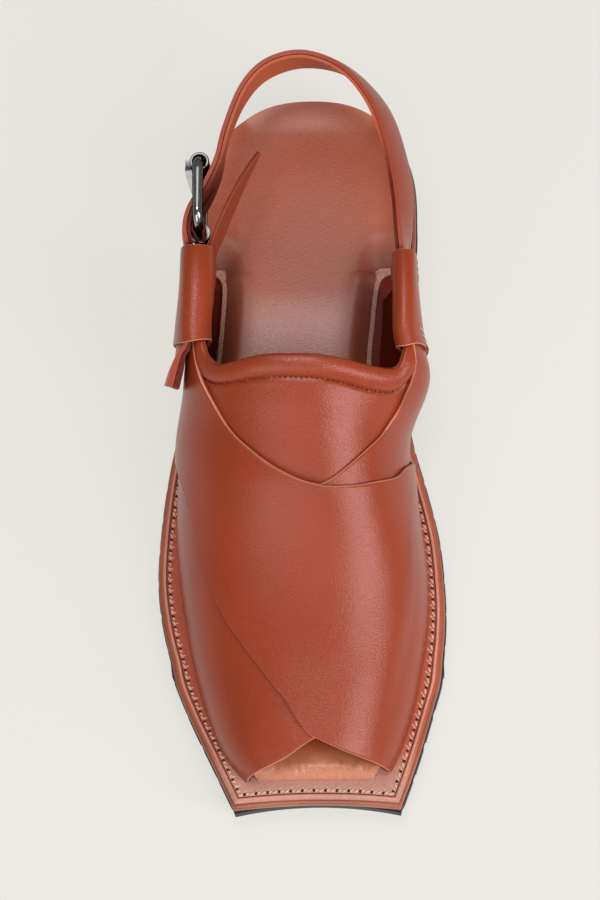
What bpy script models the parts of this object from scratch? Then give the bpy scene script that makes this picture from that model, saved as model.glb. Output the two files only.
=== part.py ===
"""Peshawari chappal for the right foot: crossed leather panels on a stitched, rubber-soled base.

Sizes are millimetres, and MM turns them into Blender's metres. +X is the foot's inner (medial)
side, -Y the toe and +Z up. The origin is on the floor, under the middle of the heel's tread.

"ahead" is how far a place lies in front of the heel's back end. On the upper, "girth" runs from 0
at the sole's outer (lateral) edge, over the instep, to 1 at its inner edge, and "lift" is the
height above the last, the foot-shaped form that the upper is pulled over.
"""

import math
from collections import namedtuple

import bmesh
import bpy
from mathutils import Vector

MM = 0.001
GAP = 0.3
MERGE = 1e-6
LATERAL, MEDIAL = -1, 1

# Sole, from the floor up
HEEL_TREAD = 38.0
HEEL_HALF_WIDTH = 42.0
HEEL_MIDDLE = 0.7
HEEL_ROUND = 44.0
HEEL_SQUARENESS = 2.35
HEEL_SHOULDER = 12.0
HEEL_BREAST = 77.0
HEEL_LIFT = 15.0
WAIST_START, WAIST_END = 80.0, 165.0
TOE_SPRING_START, TOE_SPRING_RUN, TOE_SPRING = 225.0, 60.0, 9.0
OUTSOLE, MIDSOLE, TOPSOLE = 6.5, 4.0, 3.0
OUTSOLE_END, MIDSOLE_END, TOPSOLE_END = 284.6, 283.2, 281.6
OUTSOLE_DISH, MIDSOLE_DISH, TOPSOLE_DISH = 3.6, 2.2, 1.7
MIDSOLE_INSET, TOPSOLE_INSET = 1.0, 1.7
TOE_LIP_START, TOE_LIP = 222.0, 1.2
BAR_PITCH, GROOVE_WIDTH, GROOVE_DEPTH, GROOVE_SLOPE = 13.0, 3.4, 2.4, 0.5
HEEL_INSET, BREAST_HOLLOW_START, BREAST_HOLLOW = 0.6, 60.0, 3.0

# Footbed
FOOTBED, CUP_RISE, CUP_RIM = 4.6, 1.8, 15.0
CUP_FADE_START, CUP_FADE_END = 60.0, 105.0
NOTCH = 72.5
FOOTBED_BEVEL, FOOTBED_END, FOOTBED_LIP = 266.0, 272.5, 1.2

# Upper leathers
PANEL, TONGUE, STRAP, KEEPER, TAB = 1.8, 1.6, 3.0, 1.4, 1.4
PANEL_LIFT = TONGUE + 1.5 * GAP
CROSSING_LIFT, CROSSING_BITE, CROSSING_EASE = 1.9, 1.1, 9.0
STRAP_HEIGHT = 21.5
STRAP_INSIDE = -0.3
STRAP_OUTSIDE = PANEL_LIFT + PANEL + 1.2 * GAP + STRAP / 2

# Buckle
BAR, BACK_BAR = 3.4, 4.6
FRAME_LENGTH, FRAME_HEIGHT, FRAME_CORNER = 27.6, 26.0, 6.5
FRAME_X, FRAME_BACK, FRAME_Z = -39.7, 44.0, 75.6
ROLLER, ROLLER_LENGTH = 7.6, 11.0
PRONG_WIDTH, PRONG, PRONG_LEVEL, PRONG_TIP = 2.6, 1.6, 25.0, 2.5
# How far out of the frame's middle the prong stands at each distance behind the front bar
PRONG_BENDS = ((0.6, 4.5), (1.2, 9.0), (2.4, 14.0), (4.0, 19.0))
CHAPE, CHAPE_WIDTH, CHAPE_LIFT = 0.8, 15.0, 0.7
CHAPE_LEGS, CHAPE_RISES, CHAPE_PART = (90.0, 84.0, 78.0), (-1.5, -16.5), 0.1
TAB_LIFT, TAB_LEGS, TAB_RISES = -1.2, (92.0, 86.0, 80.0), (-0.5, -19.5)
PRONG_SLOT = 4.2
STRAP_HOLE, STRAP_HOLE_START, STRAP_HOLE_END = 5.0, 53.0, 67.5
CUT_REACH = 9.0

SoleStation = namedtuple("SoleStation", "ahead lateral medial")
SOLE = (
    SoleStation(44, 41.3, 42.7),
    SoleStation(58, 41.2, 42.6),
    SoleStation(72, 40.8, 41.2),
    SoleStation(95, 41.8, 38.6),
    SoleStation(115, 46.4, 37.6),
    SoleStation(135, 53.2, 39.8),
    SoleStation(155, 57.4, 45.3),
    SoleStation(175, 59.6, 50.0),
    SoleStation(192, 60.2, 51.8),
    SoleStation(208, 58.5, 52.3),
    SoleStation(226, 54.1, 50.6),
    SoleStation(245, 46.7, 45.5),
    SoleStation(265, 37.2, 39.6),
    SoleStation(285, 27.7, 32.7),
)
FOOTBED_EDGE = (
    SoleStation(44, 40.0, 41.2),
    SoleStation(58, 39.8, 40.6),
    SoleStation(72, 38.2, 37.4),
    SoleStation(73, 34.8, 28.6),
    SoleStation(80, 34.0, 27.2),
    SoleStation(92, 34.8, 25.8),
    SoleStation(110, 36.9, 24.2),
    SoleStation(122, 39.9, 26.6),
    SoleStation(135, 43.8, 31.0),
    SoleStation(150, 46.7, 34.4),
    SoleStation(168, 48.3, 38.1),
    SoleStation(192, 47.6, 41.9),
    SoleStation(208, 45.4, 41.9),
    SoleStation(226, 41.9, 39.4),
    SoleStation(245, 36.4, 35.2),
    SoleStation(262, 28.3, 29.3),
    SoleStation(273, 19.6, 23.6),
)

Section = namedtuple(
    "Section", "ahead lateral medial crest crest_z swell_lateral swell_medial fullness"
)
LAST = (
    Section(76, 33.0, 27.5, -2.0, 118.0, 9.0, 15.0, 0.58),
    Section(95, 33.6, 26.5, -1.0, 109.0, 10.0, 17.5, 0.58),
    Section(112, 36.5, 25.5, 0.0, 99.3, 10.0, 21.0, 0.60),
    Section(126, 41.0, 27.8, 1.0, 90.8, 7.5, 23.0, 0.68),
    Section(145, 45.7, 33.2, 2.0, 80.6, 3.0, 6.0, 0.78),
    Section(168, 48.0, 37.6, 3.5, 69.5, 1.0, 1.0, 0.82),
    Section(192, 47.2, 41.7, 4.0, 57.5, 0.0, 0.0, 0.84),
    Section(208, 45.0, 41.7, 4.0, 50.8, 0.0, 0.0, 0.82),
    Section(226, 41.6, 39.3, 3.8, 45.2, 0.0, 0.0, 0.79),
    Section(245, 36.2, 35.3, 3.4, 41.0, 0.0, 0.0, 0.75),
    Section(262, 28.9, 29.9, 3.0, 37.6, 0.0, 0.0, 0.72),
    Section(274, 18.5, 23.8, 2.6, 34.8, 0.0, 0.0, 0.70),
)

# A strip of leather on the last: each rib runs from its throat edge to its toe edge.
Rib = namedtuple("Rib", "throat throat_girth toe toe_girth")
OVER_PANEL = (
    Rib(146.0, 1.00, 268.2, 1.00),
    Rib(152.5, 0.90, 268.2, 0.88),
    Rib(157.8, 0.815, 267.6, 0.77),
    Rib(163.3, 0.752, 266.2, 0.66),
    Rib(166.8, 0.662, 263.6, 0.560),
    Rib(168.8, 0.584, 258.6, 0.490),
    Rib(168.6, 0.510, 244.6, 0.433),
    Rib(163.3, 0.448, 230.3, 0.363),
    Rib(156.3, 0.394, 214.4, 0.289),
    Rib(147.8, 0.341, 201.0, 0.251),
    Rib(136.6, 0.298, 183.0, 0.215),
    Rib(125.6, 0.262, 169.0, 0.190),
    Rib(114.2, 0.240, 158.0, 0.145),
    Rib(100.0, 0.220, 151.0, 0.095),
    Rib(86.0, 0.198, 147.0, 0.050),
    Rib(79.5, 0.165, 144.0, 0.020),
    Rib(78.0, 0.080, 142.0, 0.005),
    Rib(80.0, 0.000, 140.0, 0.000),
)
UNDER_PANEL = (
    Rib(138.0, 0.00, 271.0, 0.00),
    Rib(146.0, 0.12, 270.8, 0.08),
    Rib(158.7, 0.253, 269.8, 0.264),
    Rib(163.3, 0.304, 267.3, 0.400),
    Rib(167.8, 0.391, 262.4, 0.478),
    Rib(169.6, 0.464, 256.0, 0.520),
    Rib(168.0, 0.524, 244.6, 0.567),
    Rib(162.6, 0.586, 230.3, 0.637),
    Rib(156.0, 0.651, 214.4, 0.711),
    Rib(148.9, 0.711, 201.0, 0.749),
    Rib(140.0, 0.745, 180.0, 0.793),
    Rib(130.5, 0.739, 168.0, 0.815),
    Rib(119.0, 0.737, 158.0, 0.855),
    Rib(106.0, 0.759, 151.0, 0.900),
    Rib(92.0, 0.786, 147.0, 0.945),
    Rib(86.0, 0.815, 149.0, 0.980),
    Rib(83.0, 0.900, 150.0, 0.995),
    Rib(83.5, 1.000, 150.0, 1.000),
)
TONGUE_RIBS = (
    Rib(94.0, 0.205, 94.0, 0.135),
    Rib(105.0, 0.236, 108.0, 0.135),
    Rib(115.1, 0.262, 122.0, 0.135),
    Rib(121.5, 0.284, 138.0, 0.150),
    Rib(125.4, 0.322, 152.0, 0.195),
    Rib(125.5, 0.376, 166.0, 0.280),
    Rib(124.8, 0.440, 176.0, 0.380),
    Rib(125.1, 0.501, 180.0, 0.480),
    Rib(126.2, 0.568, 178.0, 0.580),
    Rib(127.8, 0.640, 168.0, 0.690),
    Rib(127.0, 0.693, 156.0, 0.770),
    Rib(122.5, 0.712, 143.0, 0.820),
    Rib(114.0, 0.740, 128.0, 0.850),
    Rib(104.0, 0.764, 111.0, 0.870),
    Rib(94.0, 0.782, 94.0, 0.870),
)

# Where the wings' top edges lie inside the keepers
WingTop = namedtuple("WingTop", "ahead lateral medial")
WING_TOP = (
    WingTop(70, 0.165, 0.835),
    WingTop(86, 0.198, 0.799),
    WingTop(100, 0.220, 0.772),
    WingTop(114, 0.240, 0.745),
    WingTop(126, 0.262, 0.735),
    WingTop(140, 0.308, 0.745),
)
# A keeper's inner face in section: rise above the wing's top edge, and lift over the last
Bend = namedtuple("Bend", "rise lift")
MEDIAL_WRAP = (
    Bend(-16.0, -2.3),
    Bend(-8.0, -2.3),
    Bend(0.0, -2.3),
    Bend(2.8, -1.5),
    Bend(3.9, 0.9),
    Bend(2.8, 3.1),
    Bend(0.0, 4.0),
    Bend(-9.0, 4.0),
    Bend(-19.0, 4.0),
)
LATERAL_WRAP = (
    Bend(-16.0, -2.3),
    Bend(-8.0, -2.4),
    Bend(0.0, -2.4),
    Bend(3.4, -1.0),
    Bend(4.8, 2.5),
    Bend(3.4, 6.2),
    Bend(0.0, 7.6),
    Bend(-10.0, 7.6),
    Bend(-20.5, 7.6),
    Bend(-23.5, 6.4),
    Bend(-25.4, 4.6),
    Bend(-29.0, 4.1),
)
MEDIAL_KEEPER = (82.0, 119.5)
LATERAL_KEEPER = (79.0, 115.5)
# How far a keeper's front edge is cut back down its outer wall
MEDIAL_CUT, LATERAL_CUT = 1.5, 4.2

# Where the strap lies along a wing: how far ahead, and the rises of its two edges
STRAP_IN_MEDIAL_KEEPER, MEDIAL_RISES = (93.0, 87.0), (0.0, 0.6 - STRAP_HEIGHT)
STRAP_IN_LATERAL_KEEPER, LATERAL_RISES = (79.5, 92.0, 104.0, 115.0), (0.5, 0.8 - STRAP_HEIGHT)

# A straight row across a strap's middle surface, from its top edge to its lower edge
Row = namedtuple("Row", "top_x top_ahead top_z low_x low_ahead low_z")
STRAP_ROUND_HEEL = (
    Row(35.9, 74.0, 83.8, 38.6, 72.5, 64.0),
    Row(34.8, 60.0, 88.0, 40.6, 58.0, 67.0),
    Row(31.8, 43.5, 91.0, 38.4, 41.0, 70.0),
    Row(25.6, 25.5, 93.3, 31.6, 21.0, 72.2),
    Row(15.2, 12.6, 95.0, 18.2, 6.4, 73.6),
    Row(0.8, 6.8, 96.0, 0.8, 2.2, 74.2),
    Row(-12.8, 9.6, 95.6, -14.6, 6.8, 73.8),
    Row(-22.0, 18.6, 94.2, -24.2, 17.4, 72.4),
    Row(-28.4, 33.0, 91.0, -30.8, 33.0, 69.5),
    Row(-32.0, 45.0, 87.6, -33.4, 45.0, 66.2),
    Row(-36.6, 55.0, 86.0, -37.4, 55.0, 64.6),
    Row(-42.2, 64.0, 85.6, -42.7, 64.0, 64.3),
    Row(-44.2, 71.5, 84.0, -44.7, 71.5, 63.0),
)
STRAP_TAIL = (
    Row(-46.4, 120.5, 75.2, -49.6, 118.6, 53.6),
    Row(-49.8, 131.0, 70.0, -52.2, 125.4, 51.4),
)
TAB_BEYOND_KEEPER = (
    Row(-34.5, 75.0, 81.4, -34.5, 75.0, 62.6),
    Row(-31.9, 68.5, 82.2, -31.9, 68.5, 63.0),
    Row(-28.4, 60.5, 82.6, -28.4, 60.5, 65.0),
    Row(-23.6, 51.0, 82.2, -23.6, 51.0, 70.0),
    Row(-19.0, 43.0, 80.6, -19.0, 43.0, 74.6),
    Row(-16.9, 39.6, 78.8, -16.9, 39.6, 77.6),
)


def clear_scene():
    for obj in list(bpy.data.objects):
        bpy.data.objects.remove(obj)


def steps(start, end, count):
    return [start + (end - start) * i / count for i in range(count + 1)]


def mix(a, b, share):
    return a + (b - a) * share


def ease(share):
    share = min(1.0, max(0.0, share))
    return share * share * (3 - 2 * share)


def hermite(before, start, end, after, widths, share):
    """Cubic through start and end, whose slopes come from the neighbours on each side."""
    left, span, right = widths
    slope_in = (end - before) / (left + span) * span
    slope_out = (after - start) / (span + right) * span
    square, cube = share**2, share**3
    return (
        (2 * cube - 3 * square + 1) * start
        + (cube - 2 * square + share) * slope_in
        + (3 * square - 2 * cube) * end
        + (cube - square) * slope_out
    )


def read(table, column, ahead):
    """A column of a table at this distance ahead, smooth through its rows."""
    last_row = len(table) - 1
    i = 0
    while i < last_row - 1 and ahead > table[i + 1].ahead:
        i += 1
    rows = [table[max(0, i - 1)], table[i], table[i + 1], table[min(last_row, i + 2)]]
    places = [row.ahead for row in rows]
    widths = [b - a for a, b in zip(places, places[1:])]
    values = [getattr(row, column) for row in rows]
    return hermite(*values, widths, (ahead - places[1]) / widths[1])


def blend(rows, share):
    """The row at this share of the way through the rows, smooth through each of them."""
    place = min(max(share, 0.0), 1.0) * (len(rows) - 1)
    i = min(int(place), len(rows) - 2)
    near = [rows[max(0, i - 1)], rows[i], rows[i + 1], rows[min(len(rows) - 1, i + 2)]]
    widths = (1.0 if i else 0.0, 1.0, 1.0 if i + 2 < len(rows) else 0.0)
    values = [hermite(*column, widths, place - i) for column in zip(*near)]
    return type(rows[0])(*values)


# Objects and materials


def material(name, colour, roughness, metallic=0.0):
    made = bpy.data.materials.new(name)
    made.use_nodes = True
    shader = made.node_tree.nodes["Principled BSDF"]
    shader.inputs["Base Color"].default_value = (*colour, 1.0)
    shader.inputs["Roughness"].default_value = roughness
    shader.inputs["Metallic"].default_value = metallic
    return made


def object_from(name, mesh, look):
    data = bpy.data.meshes.new(name)
    mesh.to_mesh(data)
    mesh.free()
    data.materials.append(look)
    data.shade_smooth()
    data.set_sharp_from_angle(angle=math.radians(35))
    obj = bpy.data.objects.new(name, data)
    bpy.context.scene.collection.objects.link(obj)
    return obj


def shell(name, look, us, ws, inner, outer):
    """A closed sheet: a grid laid on inner(u, w), and its copy on outer(u, w), joined at the rim."""
    mesh = bmesh.new()
    bmesh.ops.create_grid(mesh, x_segments=len(us) - 1, y_segments=len(ws) - 1, size=1.0)
    u_layer = mesh.verts.layers.float.new("u")
    w_layer = mesh.verts.layers.float.new("w")
    for vert in mesh.verts:
        vert[u_layer] = us[round((vert.co.x + 1) / 2 * (len(us) - 1))]
        vert[w_layer] = ws[round((vert.co.y + 1) / 2 * (len(ws) - 1))]
    grown = bmesh.ops.extrude_face_region(mesh, geom=mesh.faces[:])["geom"]
    outside = {item for item in grown if isinstance(item, bmesh.types.BMVert)}
    for vert in mesh.verts:
        place = outer if vert in outside else inner
        vert.co = Vector(place(vert[u_layer], vert[w_layer])) * MM
    bmesh.ops.remove_doubles(mesh, verts=mesh.verts[:], dist=MERGE)
    bmesh.ops.recalc_face_normals(mesh, faces=mesh.faces[:])
    return object_from(name, mesh, look)


def ring(name, look, around, section, place):
    """A closed tube along a closed path: place(turn, angle), both from 0 to 1."""
    mesh = bmesh.new()
    bmesh.ops.create_grid(mesh, x_segments=around, y_segments=section, size=1.0)
    for vert in mesh.verts:
        turn, angle = (vert.co.x + 1) / 2, (vert.co.y + 1) / 2
        vert.co = Vector(place(turn % 1.0, angle % 1.0)) * MM
    bmesh.ops.remove_doubles(mesh, verts=mesh.verts[:], dist=MERGE)
    bmesh.ops.recalc_face_normals(mesh, faces=mesh.faces[:])
    return object_from(name, mesh, look)


def box(name, low, high):
    """A box between two corners, as a cutter."""
    mesh = bmesh.new()
    bmesh.ops.create_cube(mesh, size=1.0)
    low, high = Vector(low) * MM, Vector(high) * MM
    for vert in mesh.verts:
        vert.co = (low + high) / 2 + Vector(a * b for a, b in zip(vert.co, high - low))
    data = bpy.data.meshes.new(name)
    mesh.to_mesh(data)
    mesh.free()
    cutter = bpy.data.objects.new(name, data)
    bpy.context.scene.collection.objects.link(cutter)
    cutter.hide_render = True
    cutter.display_type = "WIRE"
    return cutter


def combine(obj, other, operation):
    other.hide_render = True
    other.display_type = "WIRE"
    modifier = obj.modifiers.new(f"{operation.lower()} {other.name}", "BOOLEAN")
    modifier.operation = operation
    modifier.solver = "EXACT"
    modifier.object = other


# Sole


def ground(ahead):
    """Height of the outsole's tread over the floor: heel lift, arch, flat forefoot, toe spring."""
    arch = HEEL_LIFT * ease((WAIST_END - ahead) / (WAIST_END - WAIST_START))
    spring = TOE_SPRING * max(0.0, (ahead - TOE_SPRING_START) / TOE_SPRING_RUN) ** 2
    return arch + spring


def midsole_base(ahead):
    return ground(ahead) + OUTSOLE + GAP


def topsole_base(ahead):
    return midsole_base(ahead) + MIDSOLE + GAP


def welt_top(ahead):
    return topsole_base(ahead) + TOPSOLE


def heel_curve(x, inset):
    """How far ahead the heel's back edge lies at this x."""
    across = min(1.0, abs(x - HEEL_MIDDLE) / (HEEL_HALF_WIDTH - inset))
    depth = (1 - across**HEEL_SQUARENESS) ** (1 / HEEL_SQUARENESS)
    return HEEL_ROUND - (HEEL_ROUND - inset) * depth


def sole_edge(side, ahead, inset):
    """x of a sole layer's edge."""
    if ahead <= HEEL_ROUND:
        back = (HEEL_ROUND - ahead) / (HEEL_ROUND - inset)
        reach = (1 - back**HEEL_SQUARENESS) ** (1 / HEEL_SQUARENESS)
        return HEEL_MIDDLE + side * (HEEL_HALF_WIDTH - inset) * reach
    column = "lateral" if side == LATERAL else "medial"
    slope = read(SOLE, column, ahead + 1) - read(SOLE, column, ahead)
    return side * (read(SOLE, column, ahead) - inset * math.hypot(1, slope))


def bow(row, across, inset):
    """How far the rows behind the heel's shoulder curve back to follow the heel."""
    fade = 1 - (row - HEEL_SHOULDER) / (HEEL_ROUND - HEEL_SHOULDER)
    left = sole_edge(LATERAL, HEEL_SHOULDER, inset)
    right = sole_edge(MEDIAL, HEEL_SHOULDER, inset)
    curve = heel_curve(mix(left, right, across), inset)
    return max(0.0, fade) * (HEEL_SHOULDER - curve)


def layer_point(row, across, inset, end, dish):
    """(x, ahead) on a layer, whose front edge is hollowed by dish between its corners."""
    x = mix(sole_edge(LATERAL, row, inset), sole_edge(MEDIAL, row, inset), across)
    hollow = ease((row - TOE_SPRING_START) / (end - TOE_SPRING_START))
    hollow *= dish * (1 - (2 * across - 1) ** 2)
    return x, row - bow(row, across, inset) - hollow


def slab(name, look, rows, columns, place, base, top):
    """A sole layer between base(x, ahead) and top(x, ahead)."""

    def at(height):
        def point(row, across):
            x, ahead = place(row, across)
            return x, HEEL_TREAD - ahead, height(x, ahead)

        return point

    return shell(name, look, rows, columns, at(base), at(top))


def groove(ahead, start, end):
    """Depth of the cross grooves in a tread, none outside start and end."""
    if not start <= ahead <= end:
        return 0.0
    along = (ahead - start) % BAR_PITCH
    wall = min(along, GROOVE_WIDTH - along) / GROOVE_SLOPE
    return GROOVE_DEPTH * min(1.0, max(0.0, wall))


def groove_rows(start, end):
    """Rows at the foot and the brink of each groove's two walls."""
    corners = (0, GROOVE_SLOPE, GROOVE_WIDTH - GROOVE_SLOPE, GROOVE_WIDTH)
    count = int((end - start) / BAR_PITCH) + 1
    return [start + BAR_PITCH * i + corner for i in range(count) for corner in corners]


HEEL_ROWS = [HEEL_SHOULDER, 16, 22, 30, 38, HEEL_ROUND]
LAYER_ROWS = HEEL_ROWS + [58, 72, 86, 100, 115, 130, 145, 160, 176, 192, 208, 225, 242, 258, 272]
ACROSS = steps(0, 1, 6)
OUTSOLE_GROOVES = (138.0, 275.0)
HEEL_GROOVES = (22.0, 70.0)


def build_outsole(look):
    first, last = OUTSOLE_GROOVES
    waist = [58, 72, 86, 100, 115, 128]
    rows = HEEL_ROWS + waist + groove_rows(first, last) + [OUTSOLE_END]

    def place(row, across):
        lip = -TOE_LIP * ease((row - TOE_LIP_START) / 8)
        return layer_point(row, across, lip, OUTSOLE_END, OUTSOLE_DISH)

    slab(
        "outsole",
        look,
        rows,
        ACROSS,
        place,
        lambda x, ahead: ground(ahead) + groove(ahead, first, last),
        lambda x, ahead: ground(ahead) + OUTSOLE,
    )


def build_heel_block(look):
    first, last = HEEL_GROOVES
    rows = [HEEL_SHOULDER, 16] + groove_rows(first, last) + [HEEL_BREAST]

    def place(row, across):
        x, ahead = layer_point(row, across, HEEL_INSET, OUTSOLE_END, 0)
        fade = ease((row - BREAST_HOLLOW_START) / (HEEL_BREAST - BREAST_HOLLOW_START))
        return x, ahead - BREAST_HOLLOW * fade * (1 - (2 * across - 1) ** 2)

    slab(
        "heel_block",
        look,
        rows,
        ACROSS,
        place,
        lambda x, ahead: groove(ahead, first, last) if ahead > HEEL_ROUND else 0.0,
        lambda x, ahead: ground(ahead) - GAP,
    )


def build_midsole(look):
    slab(
        "midsole",
        look,
        LAYER_ROWS + [MIDSOLE_END],
        ACROSS,
        lambda row, across: layer_point(row, across, MIDSOLE_INSET, MIDSOLE_END, MIDSOLE_DISH),
        lambda x, ahead: midsole_base(ahead),
        lambda x, ahead: midsole_base(ahead) + MIDSOLE,
    )


def build_topsole(look):
    slab(
        "topsole",
        look,
        LAYER_ROWS + [TOPSOLE_END],
        ACROSS,
        lambda row, across: layer_point(row, across, TOPSOLE_INSET, TOPSOLE_END, TOPSOLE_DISH),
        lambda x, ahead: topsole_base(ahead),
        lambda x, ahead: welt_top(ahead),
    )


def footbed_edge(side, ahead):
    if ahead <= HEEL_ROUND:
        return sole_edge(side, ahead, TOPSOLE_INSET)
    return side * read(FOOTBED_EDGE, "lateral" if side == LATERAL else "medial", ahead)


def footbed_point(row, across):
    x = mix(footbed_edge(LATERAL, row), footbed_edge(MEDIAL, row), across)
    return x, row - bow(row, across, TOPSOLE_INSET)


def footbed_top(x, ahead):
    """Padded top: cupped round the heel, rolled down at the front."""
    centre = (footbed_edge(LATERAL, max(ahead, 20)) + footbed_edge(MEDIAL, max(ahead, 20))) / 2
    half = abs(footbed_edge(MEDIAL, max(ahead, 20)) - centre)
    from_edge = min(half - abs(x - centre), ahead)
    fade = ease((CUP_FADE_END - ahead) / (CUP_FADE_END - CUP_FADE_START))
    cup = CUP_RISE * fade * ease(1 - from_edge / CUP_RIM)
    roll = max(0.0, (ahead - FOOTBED_BEVEL) / (FOOTBED_END - FOOTBED_BEVEL)) ** 2
    thickness = mix(FOOTBED + cup, FOOTBED_LIP, roll)
    return welt_top(ahead) + GAP + thickness


def build_footbed(look):
    middle = [52, 62, NOTCH - 0.6, NOTCH + 0.6, 80, 92, 102, 112, 124, 138, 155, 172]
    front = [190, 208, 226, 245, 258, FOOTBED_BEVEL, 270, FOOTBED_END]
    slab(
        "footbed",
        look,
        HEEL_ROWS + middle + front,
        steps(0, 1, 10),
        footbed_point,
        lambda x, ahead: welt_top(ahead) + GAP,
        footbed_top,
    )


# Upper


def last_skin(ahead, girth):
    """A point on the last: a rounded arch whose foot stands on the welt."""
    side = MEDIAL if girth > 0.5 else LATERAL
    name = "medial" if side == MEDIAL else "lateral"
    crest = read(LAST, "crest", ahead)
    angle = math.pi * (1 - girth if side == MEDIAL else girth)
    half = read(LAST, name, ahead) - side * crest
    half += read(LAST, f"swell_{name}", ahead) * math.sin(2 * angle)
    base = welt_top(ahead) + GAP
    rise = (read(LAST, "crest_z", ahead) - base) * max(0.0, math.sin(angle)) ** 0.95
    reach = half * max(0.0, math.cos(angle)) ** read(LAST, "fullness", ahead)
    return Vector((crest + side * reach, HEEL_TREAD - ahead, base + rise))


def last_point(ahead, girth, lift):
    """The point that stands this far out of the last, never below its foot on the welt."""
    step = 0.004
    low, high = max(0.0, girth - step), min(1.0, girth + step)
    round_it = last_skin(ahead, high) - last_skin(ahead, low)
    along_it = last_skin(ahead - 0.5, girth) - last_skin(ahead + 0.5, girth)
    outward = round_it.cross(along_it).normalized()
    point = last_skin(ahead, girth) + outward * lift
    place_ahead = HEEL_TREAD - point.y
    point.z = max(point.z, welt_top(place_ahead) + GAP)
    return point


def edge_of(ribs, edge, girth):
    """How far ahead an edge of a strip lies at this girth, straight between its ribs."""
    ends = [(getattr(rib, f"{edge}_girth"), getattr(rib, edge)) for rib in ribs]
    for (g0, a0), (g1, a1) in zip(ends, ends[1:]):
        if min(g0, g1) <= girth <= max(g0, g1) and g0 != g1:
            return mix(a0, a1, (girth - g0) / (g1 - g0))
    return ends[-1][1]


def crossing(ahead, girth):
    """1 where the over panel lies on the under panel, easing to 0 beside it."""
    ahead_of_throat = 1.0
    if girth < 0.47:
        beyond = ahead - edge_of(UNDER_PANEL, "throat", girth)
        ahead_of_throat = ease(1 + beyond / CROSSING_EASE)
    short_of_toe = 1.0
    if girth > 0.5:
        before = edge_of(UNDER_PANEL, "toe", girth) - ahead
        short_of_toe = ease(1 + before / CROSSING_EASE)
    return ahead_of_throat * short_of_toe


def rib_place(ribs, along, across):
    rib = blend(ribs, along)
    ahead = mix(rib.throat, rib.toe, across)
    girth = mix(rib.throat_girth, rib.toe_girth, across)
    return ahead, min(1.0, max(0.0, girth))


def strip(name, look, ribs, counts, low, high):
    """A leather strip on the last between two lifts, each a function of (ahead, girth)."""

    def at(lift):
        def point(along, across):
            ahead, girth = rib_place(ribs, along, across)
            return last_point(ahead, girth, lift(ahead, girth))

        return point

    return shell(name, look, steps(0, 1, counts[0]), steps(0, 1, counts[1]), at(low), at(high))


def build_upper(look):
    """Two panels, each rooted beside the toes and again at the other side's waist, joined."""
    under = strip(
        "under_panel",
        look,
        UNDER_PANEL,
        (36, 12),
        lambda ahead, girth: PANEL_LIFT,
        lambda ahead, girth: PANEL_LIFT + PANEL,
    )
    over = strip(
        "upper",
        look,
        OVER_PANEL,
        (36, 12),
        lambda ahead, girth: PANEL_LIFT + (CROSSING_LIFT - CROSSING_BITE) * crossing(ahead, girth),
        lambda ahead, girth: PANEL_LIFT + PANEL + CROSSING_LIFT * crossing(ahead, girth),
    )
    combine(over, under, "UNION")


def build_tongue(look):
    strip(
        "tongue",
        look,
        TONGUE_RIBS,
        (26, 6),
        lambda ahead, girth: 0.0,
        lambda ahead, girth: TONGUE,
    )


# Keepers, heel strap and buckle


def wing_point(side, ahead, rise, lift):
    """A place by its rise above the wing's top edge and its lift over the last."""
    top = read(WING_TOP, "lateral" if side == LATERAL else "medial", ahead)
    near = last_skin(ahead, top + 0.01) - last_skin(ahead, top - 0.01)
    girth = top - side * rise / (near.length / 0.02)
    return last_point(ahead, girth, lift)


def build_keeper(name, look, side, ends, cut, wrap, counts):
    """A leather wrap over the wing's top edge, a little thicker than its bends' inner line."""

    def at(grow):
        def point(ahead, share):
            ahead -= cut * ease((share - 0.5) / 0.3) * (ahead - ends[0]) / (ends[1] - ends[0])
            bend = blend(wrap, share)
            turn = Vector(blend(wrap, share + 0.01)) - Vector(blend(wrap, share - 0.01))
            turn.normalize()
            return wing_point(side, ahead, bend.rise + turn.y * grow, bend.lift - turn.x * grow)

        return point

    return shell(name, look, steps(*ends, counts[0]), steps(0, 1, counts[1]), at(0.0), at(KEEPER))


def free_line(row):
    """The line across a strap at this row, as a function of depth from 0 to 1."""
    top = Vector((row.top_x, HEEL_TREAD - row.top_ahead, row.top_z))
    low = Vector((row.low_x, HEEL_TREAD - row.low_ahead, row.low_z))
    return lambda depth: top.lerp(low, depth)


def wing_line(side, ahead, lift, rises):
    """A line across a strap that lies along a wing, from one rise down to another."""
    return lambda depth: wing_point(side, ahead, mix(*rises, depth), lift)


def middle_surface(lines, along, depth):
    """A point of the smooth surface through these lines."""
    place = min(max(along, 0.0), 1.0) * (len(lines) - 1)
    i = min(int(place), len(lines) - 2)
    near = [lines[max(0, i - 1)], lines[i], lines[i + 1], lines[min(len(lines) - 1, i + 2)]]
    widths = (1.0 if i else 0.0, 1.0, 1.0 if i + 2 < len(lines) else 0.0)
    columns = zip(*(line(depth) for line in near))
    return Vector([hermite(*column, widths, place - i) for column in columns])


def band(name, look, lines, along, across, thickness):
    """A strap of even thickness on the middle surface through these lines."""

    def at(offset):
        def point(share, depth):
            forward = middle_surface(lines, share + 0.004, depth)
            forward -= middle_surface(lines, share - 0.004, depth)
            down = middle_surface(lines, share, depth + 0.1)
            down -= middle_surface(lines, share, depth - 0.1)
            outward = forward.cross(down).normalized()
            return middle_surface(lines, share, depth) + outward * offset

        return point

    return shell(name, look, along, across, at(-thickness / 2), at(thickness / 2))


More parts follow.
